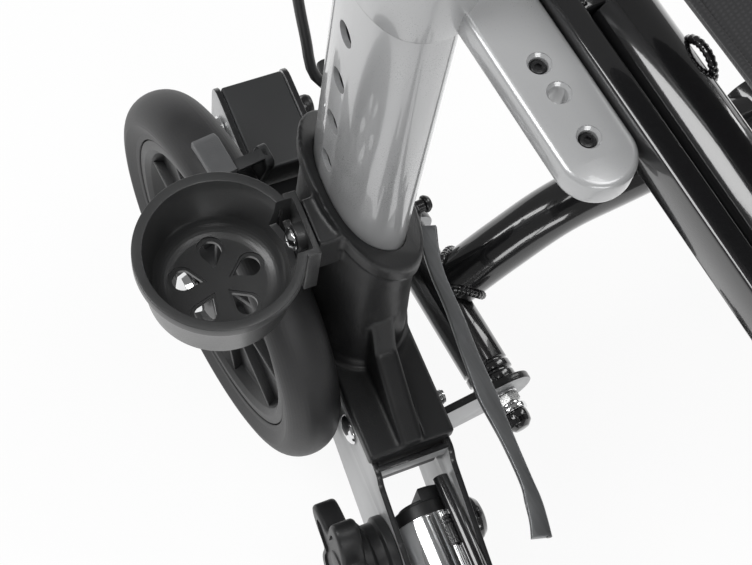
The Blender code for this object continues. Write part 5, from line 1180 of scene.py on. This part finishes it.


# Fold lock lever
# A long bent blade of thin steel that the user's foot presses. Its faces are brushed grey, and a dark cord
# along its right edge is painted shade; it widens at the front end, and its eye turns on the lug's pin at the
# rear.
LEVER_ROUTE = ((-0.2035, 0.1745), (-0.2085, 0.1620), (-0.2118, 0.1497), (-0.2138, 0.1360), (-0.2155, 0.1252),
               (-0.2185, 0.1100), (-0.2212, 0.0939), (-0.2227, 0.0834), (-0.2250, 0.0625), (-0.2277, 0.0422),
               (-0.2298, 0.0326), (-0.2325, 0.0234), (-0.2355, 0.0160))
LEVER_HALF = (0.0042, 0.0036, 0.0032, 0.0031, 0.0034, 0.0037, 0.0042, 0.0044, 0.0031, 0.0028, 0.0036, 0.0039,
              0.0045)
bar_route = [Vector((*point, 0)) for point in LEVER_ROUTE]
left_side, right_side = [], []
for number, point in enumerate(bar_route):
    along = (bar_route[min(number + 1, 12)] - bar_route[max(number - 1, 0)]).normalized()
    out = Vector((along.y, -along.x, 0)) * LEVER_HALF[number]
    left_side.append(point + out)
    right_side.append(point - out)
left_fine = [point.to_2d().to_tuple() for point in smooth_route(left_side, 0.002)]
right_fine = [point.to_2d().to_tuple() for point in smooth_route(right_side, 0.002)]
blade = plate(left_fine + right_fine[::-1], LEVER_Z - 0.0020, LEVER_Z + 0.0020, ROW, edge=0.0003)
# Painted shade: a dark round cord along the blade's right edge stands for that side turned away from the
# light.
painted_shade_side = pipe([ROW @ Vector((point[0] - 0.0008, point[1], LEVER_Z)) for point in right_fine], 0.0014, 4)
for face in painted_shade_side.data.polygons:
    face.material_index = 1
eye = rod(ROW @ Vector((LEVER_PIVOT[0] - LEVER_EYE_HALF, LEVER_PIVOT[1], LEVER_Z)),
          ROW @ Vector((LEVER_PIVOT[0] + LEVER_EYE_HALF, LEVER_PIVOT[1], LEVER_Z)), 0.0062, 0.0004, 40)
neck = block((LEVER_PIVOT[0] - LEVER_EYE_HALF, LEVER_PIVOT[1] - 0.0140, LEVER_Z - 0.0020),
             (LEVER_PIVOT[0] + LEVER_EYE_HALF, LEVER_PIVOT[1], LEVER_Z + 0.0020), 0.0003, 2, ROW)
eye_end = combined(merged(eye, neck), [rod(ROW @ Vector((-0.23, LEVER_PIVOT[1], LEVER_Z)),
                                           ROW @ Vector((-0.17, LEVER_PIVOT[1], LEVER_Z)), 0.0035)],
                   "DIFFERENCE")
for face in eye_end.data.polygons:
    face.material_index = 1
brushed = Finish("brushed_grey_steel", (0.20, 0.205, 0.21), 0.34, metallic=0.75)
brush_lines = brushed.noise(900.0, 4.0, brushed.place(scale=(1, 0.035, 1)))
wear = brushed.noise(35.0, 4.0)
brushed.set("Base Color", brushed.blend(brush_lines * 0.6 + wear * 0.4, (0.155, 0.160, 0.165),
                                        (0.275, 0.280, 0.285)))
brushed.set("Roughness", brush_lines * 0.22 + wear * 0.10 + 0.20)
brushed.relief(brush_lines, 0.00004, 0.7)
lever_piece = merged(blade, painted_shade_side, eye_end)
lever_piece.data.materials.append(brushed.material)
lever_piece.data.materials.append(dark_edge.material)
add_piece(lever_piece, "fold_lock_lever", None, "grey_blade_steel", "lock_lever", "lock_lever")


# Cane cup
# A moulded dark grey cup with a flat rim that overhangs its drafted wall, and five drops through the dished
# floor. One flat side is screwed to the housing, and it takes the tip of a walking stick.
CUP_FORWARD = 0.0469
CUP_TOP = 0.240
cup_floor = CUP_TOP - 0.036
inner_rim = CUP_RIM - 0.0045
FLOOR_RADIUS = 0.0300
at_cup = SIDE @ Matrix.Translation((CUP_ACROSS, -CUP_FORWARD, 0))
shell = turned([(0, cup_floor), (FLOOR_RADIUS, cup_floor), (FLOOR_RADIUS + 0.0020, cup_floor + 0.002),
                (inner_rim + 0.0020, CUP_TOP - 0.0085), (CUP_RIM - 0.0004, CUP_TOP - 0.0070),
                (CUP_RIM, CUP_TOP - 0.0055),
                (CUP_RIM, CUP_TOP), (inner_rim, CUP_TOP), (inner_rim - 0.0004, CUP_TOP - 0.009),
                *[(FLOOR_RADIUS - 0.0005 - 0.0100 * (1 - cos(radians(angle))), cup_floor + 0.0124
                   - 0.0096 * sin(radians(angle))) for angle in range(8, 91, 8)],
                (0.0120, cup_floor + 0.0027), (0, cup_floor + 0.0029)],
               at_cup, 128, edge=0.0005)
tab_outer = CUP_ACROSS + CUP_RIM + 0.0029
tab = block((CUP_ACROSS + inner_rim + 0.0012, -0.0625, CUP_TOP - 0.034), (tab_outer, -0.0310, CUP_TOP),
            0.0005, 3,
            SIDE)
SCREW_SEAT = 0.0095
boss = rod(in_side(SCREW_SEAT, *CUP_SCREW), in_side(tab_outer - 0.002, *CUP_SCREW), 0.0062, 0.0006, 40)
cuts = [rod(in_side(SCREW_SEAT - 0.005, *CUP_SCREW), in_side(0.03, *CUP_SCREW), 0.0029),
        rod(in_side(SCREW_SEAT - 0.009, *CUP_SCREW), in_side(SCREW_SEAT, *CUP_SCREW), 0.0061)]
DROP_HALF, DROP_INNER, DROP_OUTER = 0.0048, 0.0070, 0.0205
for number in range(5):
    turn = 2 * pi * number / 5 + radians(12)
    centre = DROP_OUTER - DROP_HALF
    arc = [(centre + DROP_HALF * cos(radians(angle)),
            DROP_HALF * sin(radians(angle))) for angle in range(-110, 111, 10)]
    outline = [(u * cos(turn) - v * sin(turn) + CUP_ACROSS, u * sin(turn) + v * cos(turn) - CUP_FORWARD)
               for u, v in [*arc, (DROP_INNER, 0)]]
    cuts.append(plate(outline, cup_floor - 0.01, cup_floor + 0.01, SIDE, edge=0))
    middle = (CUP_ACROSS + (centre - 0.002) * cos(turn), (centre - 0.002) * sin(turn) - CUP_FORWARD)
    wide = [(middle[0] + 1.28 * (across - middle[0]), middle[1] + 1.28 * (back - middle[1])) for across,
            back in outline]
    cuts.append(plate(wide, cup_floor + 0.0021, cup_floor + 0.0100, SIDE, edge=0))
recess = block((CUP_ACROSS + inner_rim - 0.0060, -0.0595, CUP_TOP - 0.0200),
               (tab_outer - 0.0026, -0.0340, CUP_TOP + 0.01),
               0.0010, 2, SIDE)
skin = combined(shell, [tab], "UNION")
cup = combined(combined(skin, [recess], "DIFFERENCE"), [boss], "UNION")
cup = combined(cup, cuts, "DIFFERENCE")
cup_grey = Finish("cup_grey", (0.034, 0.0345, 0.035), 0.32, coat=0.25, coat_roughness=0.22)
cup_grain = cup_grey.noise(1500.0, 2.0)
cup_rub = cup_grey.noise(55.0, 4.0)
cup_grey.set("Base Color", cup_grey.blend(cup_rub, (0.028, 0.0285, 0.029), (0.044, 0.0445, 0.045)))
cup_grey.set("Roughness", cup_rub * 0.16 + cup_grain * 0.08 + 0.24)
cup_grey.relief(cup_grain, 0.00007, 0.8)
add_piece(cup, "cane_cup_moulding", cup_grey, "black_plastic", "left_frame", "cane_cup")

at_screw = SIDE @ Matrix.Translation((0, *CUP_SCREW)) @ Matrix.Rotation(radians(90), 4, "Y")
seat = SCREW_SEAT - 0.0003
cup_screw = turned([(0, seat - 0.0036), (0.0030, seat - 0.0032), (0.0052, seat - 0.0012), (0.0054, seat),
                    (0.0024, seat),
                    (0.0024, 0.0265), (0, 0.0265)], at_screw, 48, edge=0.0005)
slots = []
for turn in (0, 90):
    slots.append(block((-0.0025, -0.0005, seat - 0.0045), (0.0025, 0.0005, seat - 0.0018), 0.0002, 1,
                       at_screw @ Matrix.Rotation(radians(turn + 20), 4, "Z")))
add_piece(combined(cup_screw, slots, "DIFFERENCE"), "cup_screw_cross_head", chrome, "chrome", "left_frame",
          "cup_screw")


# Seat arms
# A silver-lacquered cast arm clamps round each column with a split oval collar and runs forward to carry the
# seat's side bar. Three holes lie in a shallow trough along it: two hold dark screws, the middle one is open.
ARM_TOP = 0.405
ARM_LOW = ARM_TOP - 0.012
ARM_TIP = 0.0795
ARM_HOLES = (0.116, 0.1035, 0.085)
collar_holes = [oval(COLUMN_ACROSS, COLUMN_BACK, COLUMN_HALF[0] + 0.0003, COLUMN_HALF[1] + 0.0003)]
collar = plate(oval(COLUMN_ACROSS, COLUMN_BACK, COLUMN_HALF[0] + 0.0040, COLUMN_HALF[1] + 0.0040), ARM_LOW,
               ARM_TOP + 0.016,
               SIDE, collar_holes, 0.0012)
tip = [(ARM_X + ARM_RADIUS * cos(pi * number / 32), ARM_TIP - ARM_RADIUS * sin(pi * number / 32))
       for number in range(33)]
arm = plate([(ARM_X - ARM_RADIUS, 0.1525), (ARM_X + ARM_RADIUS, 0.1600), *tip], ARM_LOW, ARM_TOP, ROW,
            edge=0.0024)
pocket = plate(oval(COLUMN_ACROSS, COLUMN_BACK, COLUMN_HALF[0] + 0.0003, COLUMN_HALF[1] + 0.0003),
               ARM_LOW - 0.01,
               ARM_TOP + 0.03, SIDE, edge=0)
arm = combined(arm, [pocket], "DIFFERENCE")
trough = block((ARM_X - 0.0062, ARM_HOLES[2] - 0.009, ARM_TOP - 0.0012),
               (ARM_X + 0.0062, ARM_HOLES[0] + 0.009, ARM_TOP + 0.004),
               0.0040, 4, ROW)
tools = [trough]
screws = []
for number, hole in enumerate(ARM_HOLES):
    place = ROW @ Matrix.Translation((ARM_X, hole, 0))
    depth = ARM_TOP - 0.0045 if number != 1 else ARM_LOW - 0.002
    tools.append(turned([(0, depth), (0.0034, depth), (0.0034, ARM_TOP - 0.0016), (0.0044, ARM_TOP - 0.0004),
                         (0.0044, ARM_TOP + 0.003), (0, ARM_TOP + 0.003)], place, 40, edge=0))
    if number != 1:
        head = turned([(0, depth), (0.0032, depth), (0.0032, depth + 0.0014), (0.0024, depth + 0.0022),
                       (0, depth + 0.0024)],
                      place, 32)
        socket_tool = rod(place @ Vector((0, 0, depth + 0.0012)), place @ Vector((0, 0, depth + 0.004)),
                          0.0015, 0, 6)
        screws.append(combined(head, [socket_tool], "DIFFERENCE"))
arm = combined(arm, tools, "DIFFERENCE")
add_pair(merged(collar, arm), "seat_arm", silver, "silver_grey_paint", "frame", "seat_arm")
add_pair(merged(*screws), "seat_arm_screws", dark_edge, "silver_grey_paint", "frame")


# Seat rails
# A round black painted rail on which the seat turns, held at both ends by lugs on a flat side bar, which is
# screwed to the arm.
HINGE_X = HINGE[0]
SEAT_Z = SEAT_HINGE[1]
RAIL_REAR = 0.150
SLEEVE = (-0.075, 0.124)
rail = rod(ROW @ Vector((HINGE_X, RAIL_FRONT, SEAT_Z)), ROW @ Vector((HINGE_X, RAIL_REAR, SEAT_Z)),
           RAIL_RADIUS, 0.0010, 48)
bar_low = ARM_X + ARM_RADIUS + 0.0003
bar_high = HINGE_X - RAIL_RADIUS - 0.0043
bar = block((bar_low, RAIL_FRONT, SEAT_Z - RAIL_RADIUS), (bar_high, RAIL_REAR, SEAT_Z + RAIL_RADIUS), 0.0016,
            3, ROW)
lugs = []
for low, high in ((RAIL_FRONT, SLEEVE[0] - 0.001), (SLEEVE[1] + 0.001, RAIL_REAR)):
    lugs.append(block((bar_high - 0.002, low, SEAT_Z - RAIL_RADIUS * 0.8),
                      (HINGE_X, high, SEAT_Z + RAIL_RADIUS * 0.8),
                      0.0010, 2, ROW))
seams = []
for low, high in ((RAIL_FRONT, SLEEVE[0] - 0.001), (SLEEVE[1] + 0.001, RAIL_REAR)):
    middle_y = (low + high) / 2
    seams.append(bead([ROW @ Vector((bar_high + 0.0006, back, SEAT_Z + RAIL_RADIUS * 0.8 + 0.0004))
                       for back in (low + 0.002, middle_y, high - 0.002)], 0.0013))
caps = []
for end, out in ((RAIL_FRONT, -1), (RAIL_REAR, 1)):
    caps.append(turned([(0, -0.0002), (0.0080, -0.0002), (0.0070, 0.0012), (0, 0.0016)],
                       axis_at(ROW @ Vector((HINGE_X, end - out * 0.0016, SEAT_Z)), (0, out, 0)), 40))
add_pair(merged(rail, bar, *lugs, *seams), "seat_rail", gloss_black, "black_gloss_paint", "frame",
         "seat_rail")
add_pair(merged(*caps), "seat_rail_caps", moulded, "black_gloss_paint", "frame")


# Seat links
# On each rail turns a long sleeve with two arched bars, whose eyes meet on the middle pin. They carry the
# seat's two halves and fold with the cross tubes below.
SEAT_PIN = SEAT_Z + 0.040
BAR_RADIUS = 0.0078
BAR_PLACES = (0.093, -0.055)
BAR_SPACING = 2 * BAR_RADIUS + 0.001
SEAT_SIDES = ((-1, "left", 0.0), (1, "right", BAR_SPACING))
for side, side_name, offset in SEAT_SIDES:
    x = side * -HINGE_X
    at_sleeve = ROW @ Matrix.Translation((x, 0, SEAT_Z)) @ Matrix.Rotation(radians(-90), 4, "X")
    sleeve = turned([(RAIL_RADIUS + 0.0003, SLEEVE[0]), (RAIL_RADIUS + 0.0033, SLEEVE[0]),
                     (RAIL_RADIUS + 0.0033, SLEEVE[1]),
                     (RAIL_RADIUS + 0.0003, SLEEVE[1])], at_sleeve, 56, closed=True, edge=0.0006)
    solids, eyes = [sleeve], []
    for back in BAR_PLACES:
        back = back + offset
        route = [ROW @ Vector(point) for point in
                 ((x - side * 0.0115, back, SEAT_Z + 0.0045), (x - side * 0.040, back, SEAT_Z + 0.027),
                  (x - side * 0.085, back, SEAT_PIN - 0.002), (0, back, SEAT_PIN))]
        bar = pipe(smooth_route(route, 0.004), BAR_RADIUS, 7)
        eye = rod(ROW @ Vector((0, back - BAR_RADIUS, SEAT_PIN)),
                  ROW @ Vector((0, back + BAR_RADIUS, SEAT_PIN)),
                  BAR_RADIUS + 0.0001, 0.0004, 40)
        hole = rod(ROW @ Vector((0, back - 0.02, SEAT_PIN)), ROW @ Vector((0, back + 0.02, SEAT_PIN)),
                   0.0043)
        eyes.append(combined(merged(bar, eye), [hole], "DIFFERENCE"))
        solids.append(bead([route[0] + Vector((0, BAR_RADIUS * cos(turn) * 1.05, BAR_RADIUS * sin(turn)))
                            for turn in (2 * pi * number / 16 for number in range(17))], 0.0016))
    add_piece(merged(*solids, *eyes), "seat_link_" + side_name, gloss_black, "black_gloss_paint",
              side_name + "_seat",
              side_name + "_seat_link")
rear_end = BAR_PLACES[0] + BAR_SPACING + 0.012
seat_pin = rod(ROW @ Vector((0, BAR_PLACES[1] - 0.010, SEAT_PIN)), ROW @ Vector((0, rear_end, SEAT_PIN)),
               0.0040, 0.0008, 40)
add_piece(seat_pin, "seat_middle_pin", zinc, "black_gloss_paint", "left_seat")


# Handle posts
# An oval black anodised post slides in each column. The round handle tube stands on its top, bends to the
# rear and carries the grip.
POST_TOP = 0.820
POST_FOOT = 0.500
HANDLE_RADIUS = 0.012
HANDLE_REACH = 0.375
post_half = (COLUMN_HALF[0] - COLUMN_WALL - 0.0003, COLUMN_HALF[1] - COLUMN_WALL - 0.0003)
post = loft([(POST_FOOT, oval(COLUMN_ACROSS, COLUMN_BACK, *post_half)),
             (POST_TOP - 0.016, oval(COLUMN_ACROSS, COLUMN_BACK, *post_half)),
             (POST_TOP - 0.010, oval(COLUMN_ACROSS, COLUMN_BACK, post_half[0] * 0.98, post_half[1] * 0.94)),
             (POST_TOP - 0.004, oval(COLUMN_ACROSS, COLUMN_BACK, post_half[0] * 0.92, post_half[1] * 0.80)),
             (POST_TOP, oval(COLUMN_ACROSS, COLUMN_BACK, post_half[0] * 0.82, post_half[1] * 0.60))])
post.data.transform(SIDE)
column_top = in_side(COLUMN_ACROSS, COLUMN_BACK, 0)
handle_end = (ROW @ Vector((0, HANDLE_REACH, HANDLE_HEIGHT))).y
bar = pipe(bent([Vector((column_top.x, column_top.y, POST_TOP - 0.020)),
                 Vector((column_top.x, column_top.y, HANDLE_HEIGHT)),
                 Vector((column_top.x, handle_end, HANDLE_HEIGHT))], (0.044,), 20), HANDLE_RADIUS, 9)
anodised = Finish("black_anodised", (0.020, 0.020, 0.021), 0.30, metallic=0.6)
drawn_lines = anodised.noise(700.0, 3.0, anodised.place(scale=(1, 1, 0.03)))
anodised.set("Base Color", anodised.blend(drawn_lines, (0.016, 0.016, 0.017), (0.030, 0.030, 0.031)))
anodised.set("Roughness", drawn_lines * 0.20 + 0.20)
anodised.relief(drawn_lines, 0.00003, 0.6)
add_pair(merged(post, bar), "handle_post", anodised, "black_gloss_paint", "handle", "handle_post")

collar_top = COLUMN_ENDS[1]
bezel = plate(oval(COLUMN_ACROSS, COLUMN_BACK, COLUMN_HALF[0] + 0.0016, COLUMN_HALF[1] + 0.0016),
              collar_top - 0.016,
              collar_top + 0.0022, SIDE, [oval(COLUMN_ACROSS, COLUMN_BACK, post_half[0] + 0.0002,
                                               post_half[1] + 0.0002)],
              0.0008)
add_pair(bezel, "column_bezel", moulded, "silver_grey_paint", "frame")


# Hand grips
# A soft black rubber sleeve with a collar at its front, rings of shallow ribs for the palm, and a closed,
# rounded end.
GRIP_START = 0.258
GRIP_RADIUS = 0.0170
grip_bore = HANDLE_RADIUS + 0.0006
grip_end = HANDLE_REACH + 0.006
profile = [(0, HANDLE_REACH + 0.0003), (grip_bore, HANDLE_REACH + 0.0003), (grip_bore, GRIP_START),
           (GRIP_RADIUS + 0.0025, GRIP_START), (GRIP_RADIUS + 0.0030, GRIP_START + 0.004),
           (GRIP_RADIUS, GRIP_START + 0.009)]
for number in range(15):
    along = GRIP_START + 0.014 + 0.0056 * number
    profile += [(GRIP_RADIUS - 0.0002, along), (GRIP_RADIUS - 0.0013, along + 0.0009),
                (GRIP_RADIUS - 0.0013, along + 0.0020),
                (GRIP_RADIUS - 0.0002, along + 0.0029)]
profile += [(GRIP_RADIUS, grip_end - 0.022), (GRIP_RADIUS + 0.0003, grip_end - 0.008),
            (GRIP_RADIUS - 0.0015, grip_end - 0.001),
            (0.0110, grip_end + 0.002), (0, grip_end + 0.0025)]
at_grip = Matrix.Translation((column_top.x, ROW.translation.y,
                              HANDLE_HEIGHT)) @ Matrix.Rotation(radians(-90), 4, "X")
grip = turned(profile, at_grip, 72, edge=0.0006)
grip_rubber = Finish("grip_rubber", (0.026, 0.026, 0.027), 0.62, sheen=0.15)
grip_grain = grip_rubber.noise(1600.0, 3.0)
palm = grip_rubber.noise(45.0, 4.0)
grip_rubber.set("Base Color", grip_rubber.blend(palm, (0.020, 0.020, 0.021), (0.034, 0.034, 0.035)))
grip_rubber.set("Roughness", palm * 0.22 + 0.48)
grip_rubber.relief(grip_grain, 0.00012, 0.8)
add_pair(grip, "hand_grip", grip_rubber, "tyre_rubber", "handle", "hand_grip")


# Brake brackets and levers
# A moulded clamp on the handle tube holds the lever between its lug's cheeks. The lever is a black moulded
# blade under the grip, on a plated pin, and it draws the cable.
def upright_ring(profile):
    """Turned about the handle tube's axis; the profile's second values are design Y."""
    return turned(profile, at_grip, 56, closed=True, edge=0.0008)


handle_shift = column_top.x - ROW.translation.x
clamp = upright_ring([(HANDLE_RADIUS + 0.0005, 0.2280), (HANDLE_RADIUS + 0.0060, 0.2280),
                      (HANDLE_RADIUS + 0.0065, 0.2295),
                      (HANDLE_RADIUS + 0.0065, 0.2555), (HANDLE_RADIUS + 0.0060, 0.2570),
                      (HANDLE_RADIUS + 0.0005, 0.2570)])
LEVER_CENTRE = (0.2420, HANDLE_HEIGHT - 0.0340)
lug = along_plate(softened([(0.2310, HANDLE_HEIGHT - 0.015), (0.2310, LEVER_CENTRE[1] - 0.004),
                            (0.2350, LEVER_CENTRE[1] - 0.010), (0.2460, LEVER_CENTRE[1] - 0.010),
                            (0.2510, LEVER_CENTRE[1] - 0.004), (0.2540, HANDLE_HEIGHT - 0.015)], 0.003, 4,
                           True),
                  handle_shift - 0.0060, handle_shift + 0.0060)
pin_hole = rod(ROW @ Vector((handle_shift - 0.02, *LEVER_CENTRE)),
               ROW @ Vector((handle_shift + 0.02, *LEVER_CENTRE)), 0.0028)
lug = combined(lug, [pin_hole], "DIFFERENCE")
add_pair(merged(clamp, lug), "brake_bracket", moulded, "black_plastic", "handle", "brake_bracket")
y, z = LEVER_CENTRE
cheek = softened([(y - 0.0065, z - 0.0050), (y - 0.0065, z + 0.0050), (y + 0.004, z + 0.0065),
                  (y + 0.024, z - 0.001),
                  (y + 0.024, z - 0.011), (y + 0.004, z - 0.0075)], 0.003, 4, True)
low_edge = [(y + 0.128, z - 0.0145), (y + 0.100, z - 0.0185), (y + 0.058, z - 0.0175),
            (y + 0.026, z - 0.0120),
            (y + 0.017, z - 0.0090)]
high_edge = [(y + 0.017, z + 0.0010), (y + 0.030, z - 0.0045), (y + 0.060, z - 0.0110),
             (y + 0.100, z - 0.0128),
             (y + 0.128, z - 0.0088)]
high_fine = [(point.x, point.y) for point in smooth_route([(*corner, 0) for corner in high_edge], 0.003)]
low_fine = [(point.x, point.y) for point in smooth_route([(*corner, 0) for corner in low_edge], 0.003)]
lever_parts = [along_plate([*high_fine, (y + 0.131, z - 0.0100), *low_fine], handle_shift - 0.0103,
                           handle_shift + 0.0103,
                           edge=0.0022)]
for low, high in ((-0.0103, -0.0065), (0.0065, 0.0103)):
    lever_parts.append(along_plate(cheek, handle_shift + low, handle_shift + high, edge=0.0006))
add_pair(merged(*lever_parts), "brake_lever", satin_black, "black_plastic", "lever", "brake_lever")
lever_pin = turned([(0, -0.0112), (0.0030, -0.0110), (0.0040, -0.0103), (0.0025, -0.0103), (0.0025, 0.0103),
                    (0.0040, 0.0103),
                    (0.0030, 0.0110), (0, 0.0112)],
                   ROW @ Matrix.Translation((handle_shift, *LEVER_CENTRE)) @ CROSSWISE, 32, edge=0.0003)
add_pair(lever_pin, "brake_lever_pin", chrome, "black_plastic", "lever")


# Seat pads
# Two foam halves in woven black fabric, crowned on top and drawn in along the sides, with a sewn border and a
# piping cord round the edge. Each half lies on its seat link and lifts with it when the walker folds.
PAD_LOW = SEAT_PIN + BAR_RADIUS + 0.0006
PAD_SIDE, PAD_MIDDLE = -0.2115, -0.0015
PAD_FRONT, PAD_REAR = -0.100, 0.135
PAD_CORNER = 0.020
PAD_CROWN = 0.0065
PAD_THICKNESS = 0.022
STITCH_INSET, STITCH_DEPTH, STITCH_WIDTH = 0.030, 0.0016, 0.0028
PIPING_DROP = 0.0030
WEAVE_SCALE = 220.0
CLOTH_FRAMES = 20
pad_centre = ((PAD_SIDE + PAD_MIDDLE) / 2, (PAD_FRONT + PAD_REAR) / 2)


def pad_outline(inset):
    """Rounded rectangle of the left pad, with its sides drawn in between the corners."""
    half_x, half_y = (PAD_MIDDLE - PAD_SIDE) / 2 - inset, (PAD_REAR - PAD_FRONT) / 2 - inset
    corner = max(PAD_CORNER - inset / 2, 0.006)
    points = []
    for turn, sign_x, sign_y in ((0, 1, 1), (90, -1, 1), (180, -1, -1), (270, 1, -1)):
        for step in range(9):
            angle = radians(turn + 11.25 * step)
            points.append((sign_x * (half_x - corner) + corner * cos(angle),
                           sign_y * (half_y - corner) + corner * sin(angle)))
        last = points[-1]
        for step in range(1, 16):
            share = 1 - step / 8
            points.append((last[0] * share, last[1]) if turn in (0, 180) else (last[0], last[1] * share))
    drawn = []
    for x, y in points:
        pull_x = 1 - 0.0025 / half_x * (1 - min(1, abs(y) / half_y) ** 2)
        pull_y = 1 - 0.0025 / half_y * (1 - min(1, abs(x) / half_x) ** 2)
        drawn.append((pad_centre[0] + x * pull_x, pad_centre[1] + y * pull_y))
    return drawn


def swollen(obj, voxel, pressure, cap):
    """Fabric over foam: the skin is blown up a little as cloth, and no point moves further than the cap."""
    remesh = obj.modifiers.new("skin", "REMESH")
    remesh.mode = "VOXEL"
    remesh.voxel_size = voxel
    obj = settled(obj)
    rest = [vertex.co.copy() for vertex in obj.data.vertices]
    cloth = obj.modifiers.new("cloth", "CLOTH")
    cloth.settings.use_pressure = True
    cloth.settings.uniform_pressure_force = pressure
    cloth.settings.effector_weights.gravity = 0
    cloth.point_cache.frame_start, cloth.point_cache.frame_end = 1, CLOTH_FRAMES
    for number in range(1, CLOTH_FRAMES + 1):
        bpy.context.scene.frame_set(number)
    bpy.context.view_layer.update()
    blown = obj.evaluated_get(bpy.context.evaluated_depsgraph_get()).to_mesh()
    moved = [vertex.co.copy() for vertex in blown.vertices]
    obj.modifiers.remove(cloth)
    bpy.context.scene.frame_set(1)
    for vertex, start, end in zip(obj.data.vertices, rest, moved):
        step = end - start
        vertex.co = start + step * min(1, cap / max(step.length, 0.000001))
    return obj


side_top = PAD_LOW + PAD_THICKNESS - PAD_CROWN
pad_sections = ((PAD_LOW, 0.0060), (PAD_LOW + 0.003, 0.0025), (PAD_LOW + 0.007, 0.0014),
                (side_top - 0.004, 0.0022),
                (side_top - 0.001, 0.0050), (side_top + 0.35 * PAD_CROWN - 0.001, 0.0160),
                (side_top + 0.75 * PAD_CROWN - 0.001, 0.0420), (side_top + PAD_CROWN - 0.001, 0.0800))
pad = loft([(height, pad_outline(inset)) for height, inset in pad_sections])
pad = swollen(pad, 0.005, 4.0, 0.0045)
for vertex in pad.data.vertices:
    vertex.co.z = max(vertex.co.z, PAD_LOW)
subdivide = pad.modifiers.new("fine", "SUBSURF")
subdivide.levels = subdivide.render_levels = 1
pad = settled(pad)
border = ((PAD_MIDDLE - PAD_SIDE) / 2 - STITCH_INSET, (PAD_REAR - PAD_FRONT) / 2 - STITCH_INSET)
for vertex in pad.data.vertices:
    if vertex.normal.z > 0.4:
        off_x = abs(vertex.co.x - pad_centre[0]) - border[0]
        off_y = abs(vertex.co.y - pad_centre[1]) - border[1]
        off = max(off_x, off_y) if max(off_x, off_y) < 0.006 else 1.0
        vertex.co.z -= STITCH_DEPTH * exp(-((off / STITCH_WIDTH) ** 2))
cord_route = []
for x, y in pad_outline(-0.004):
    place, normal = pad.closest_point_on_mesh(Vector((x, y, side_top - PIPING_DROP)))[1:3]
    cord_route.append(ROW @ (place + normal * 0.0004))
pad.data.transform(ROW)
fabric = Finish("woven_black", (0.020, 0.020, 0.021), 0.86, sheen=0.25)
across_threads = fabric.node("ShaderNodeTexWave", {"wave_type": "BANDS", "bands_direction": "X"},
                             {"Vector": fabric.place(), "Scale": WEAVE_SCALE, "Distortion": 0.0}, "Fac")
along_threads = fabric.node("ShaderNodeTexWave", {"wave_type": "BANDS", "bands_direction": "Y"},
                            {"Vector": fabric.place(), "Scale": WEAVE_SCALE, "Distortion": 0.0}, "Fac")
weave = across_threads * along_threads
fuzz = fabric.noise(700.0, 4.0)
fabric.set("Base Color", fabric.blend(weave * 0.6 + fuzz * 0.4, (0.012, 0.012, 0.013),
                                      (0.036, 0.036, 0.038)))
fabric.set("Roughness", fuzz * 0.20 + 0.72)
fabric.relief(weave * 0.7 + fuzz * 0.3, 0.00025, 0.9)
pad_pair = add_pair(pad, "seat_pad", fabric, "black_fabric", "seat", "seat_pad")
piping = pipe([*cord_route, cord_route[0]], 0.0015, 4)
add_pair(piping, "seat_pad_piping", fabric, "black_fabric", "seat")


# Backrest
# A padded fabric band bows forward between the columns, sewn along both edges. Each end is held by a
# moulded sleeve round its column.
BACK_LOW, BACK_HEIGHT, BACK_THICKNESS, BACK_FRONT = 0.620, 0.055, 0.014, -0.110
BAND_STEPS, BAND_POWER = 48, 0.75
SEAM_UP, SEAM_WIDTH, SEAM_SHARE = 0.0195, 0.0016, 0.30
band_end = ROW.inverted() @ in_side(COLUMN_ACROSS, COLUMN_BACK - COLUMN_HALF[1] - 0.0006, 0)
middle = []
for number in range(BAND_STEPS + 1):
    turn = pi / 2 * number / BAND_STEPS
    reach = (band_end.y - BACK_FRONT) * sin(turn) ** BAND_POWER
    middle.append(Vector((band_end.x * cos(turn) ** BAND_POWER, band_end.y - reach)))
middle += [Vector((-point.x, point.y)) for point in middle[-2::-1]]
bm = bmesh.new()
rings = []
for number, point in enumerate(middle):
    along = middle[min(number + 1, len(middle) - 1)] - middle[max(number - 1, 0)]
    if number in (0, len(middle) - 1):
        along = Vector((0, -1)) if number == 0 else Vector((0, 1))
    out = Vector((along.y, -along.x)).normalized()
    near_end = min(number, len(middle) - 1 - number)
    half = BACK_THICKNESS / 2 * min(1, 0.45 + 0.09 * near_end)
    points = []
    for across, up in oval(0, 0, 1, BACK_HEIGHT / 2, 48, 2.8):
        seam = 1 - SEAM_SHARE * exp(-(((abs(up) - SEAM_UP) / SEAM_WIDTH) ** 2))
        points.append(bm.verts.new((point.x + out.x * across * half * seam,
                                    point.y + out.y * across * half * seam,
                                    BACK_LOW + BACK_HEIGHT / 2 + up)))
    rings.append([bm.edges.new((points[place - 1], points[place])) for place in range(len(points))])
for before, after in zip(rings, rings[1:]):
    bmesh.ops.bridge_loops(bm, edges=before + after)
bmesh.ops.holes_fill(bm, edges=rings[0] + rings[-1], sides=0)
backrest = add_piece(loose(bm, ROW), "backrest_band", fabric, "black_fabric", "left_frame", "backrest")
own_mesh(backrest)
sleeve_half = (COLUMN_HALF[0] + 0.0003, COLUMN_HALF[1] + 0.0003)
sleeve_outline = oval(COLUMN_ACROSS, COLUMN_BACK, COLUMN_HALF[0] + 0.0024, COLUMN_HALF[1] + 0.0020)
sleeve = plate(sleeve_outline, 0.6280, 0.6670, SIDE, [oval(COLUMN_ACROSS, COLUMN_BACK, *sleeve_half)],
               0.0007)
add_pair(sleeve, "backrest_sleeve", moulded, "silver_grey_paint", "frame")

low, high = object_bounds()
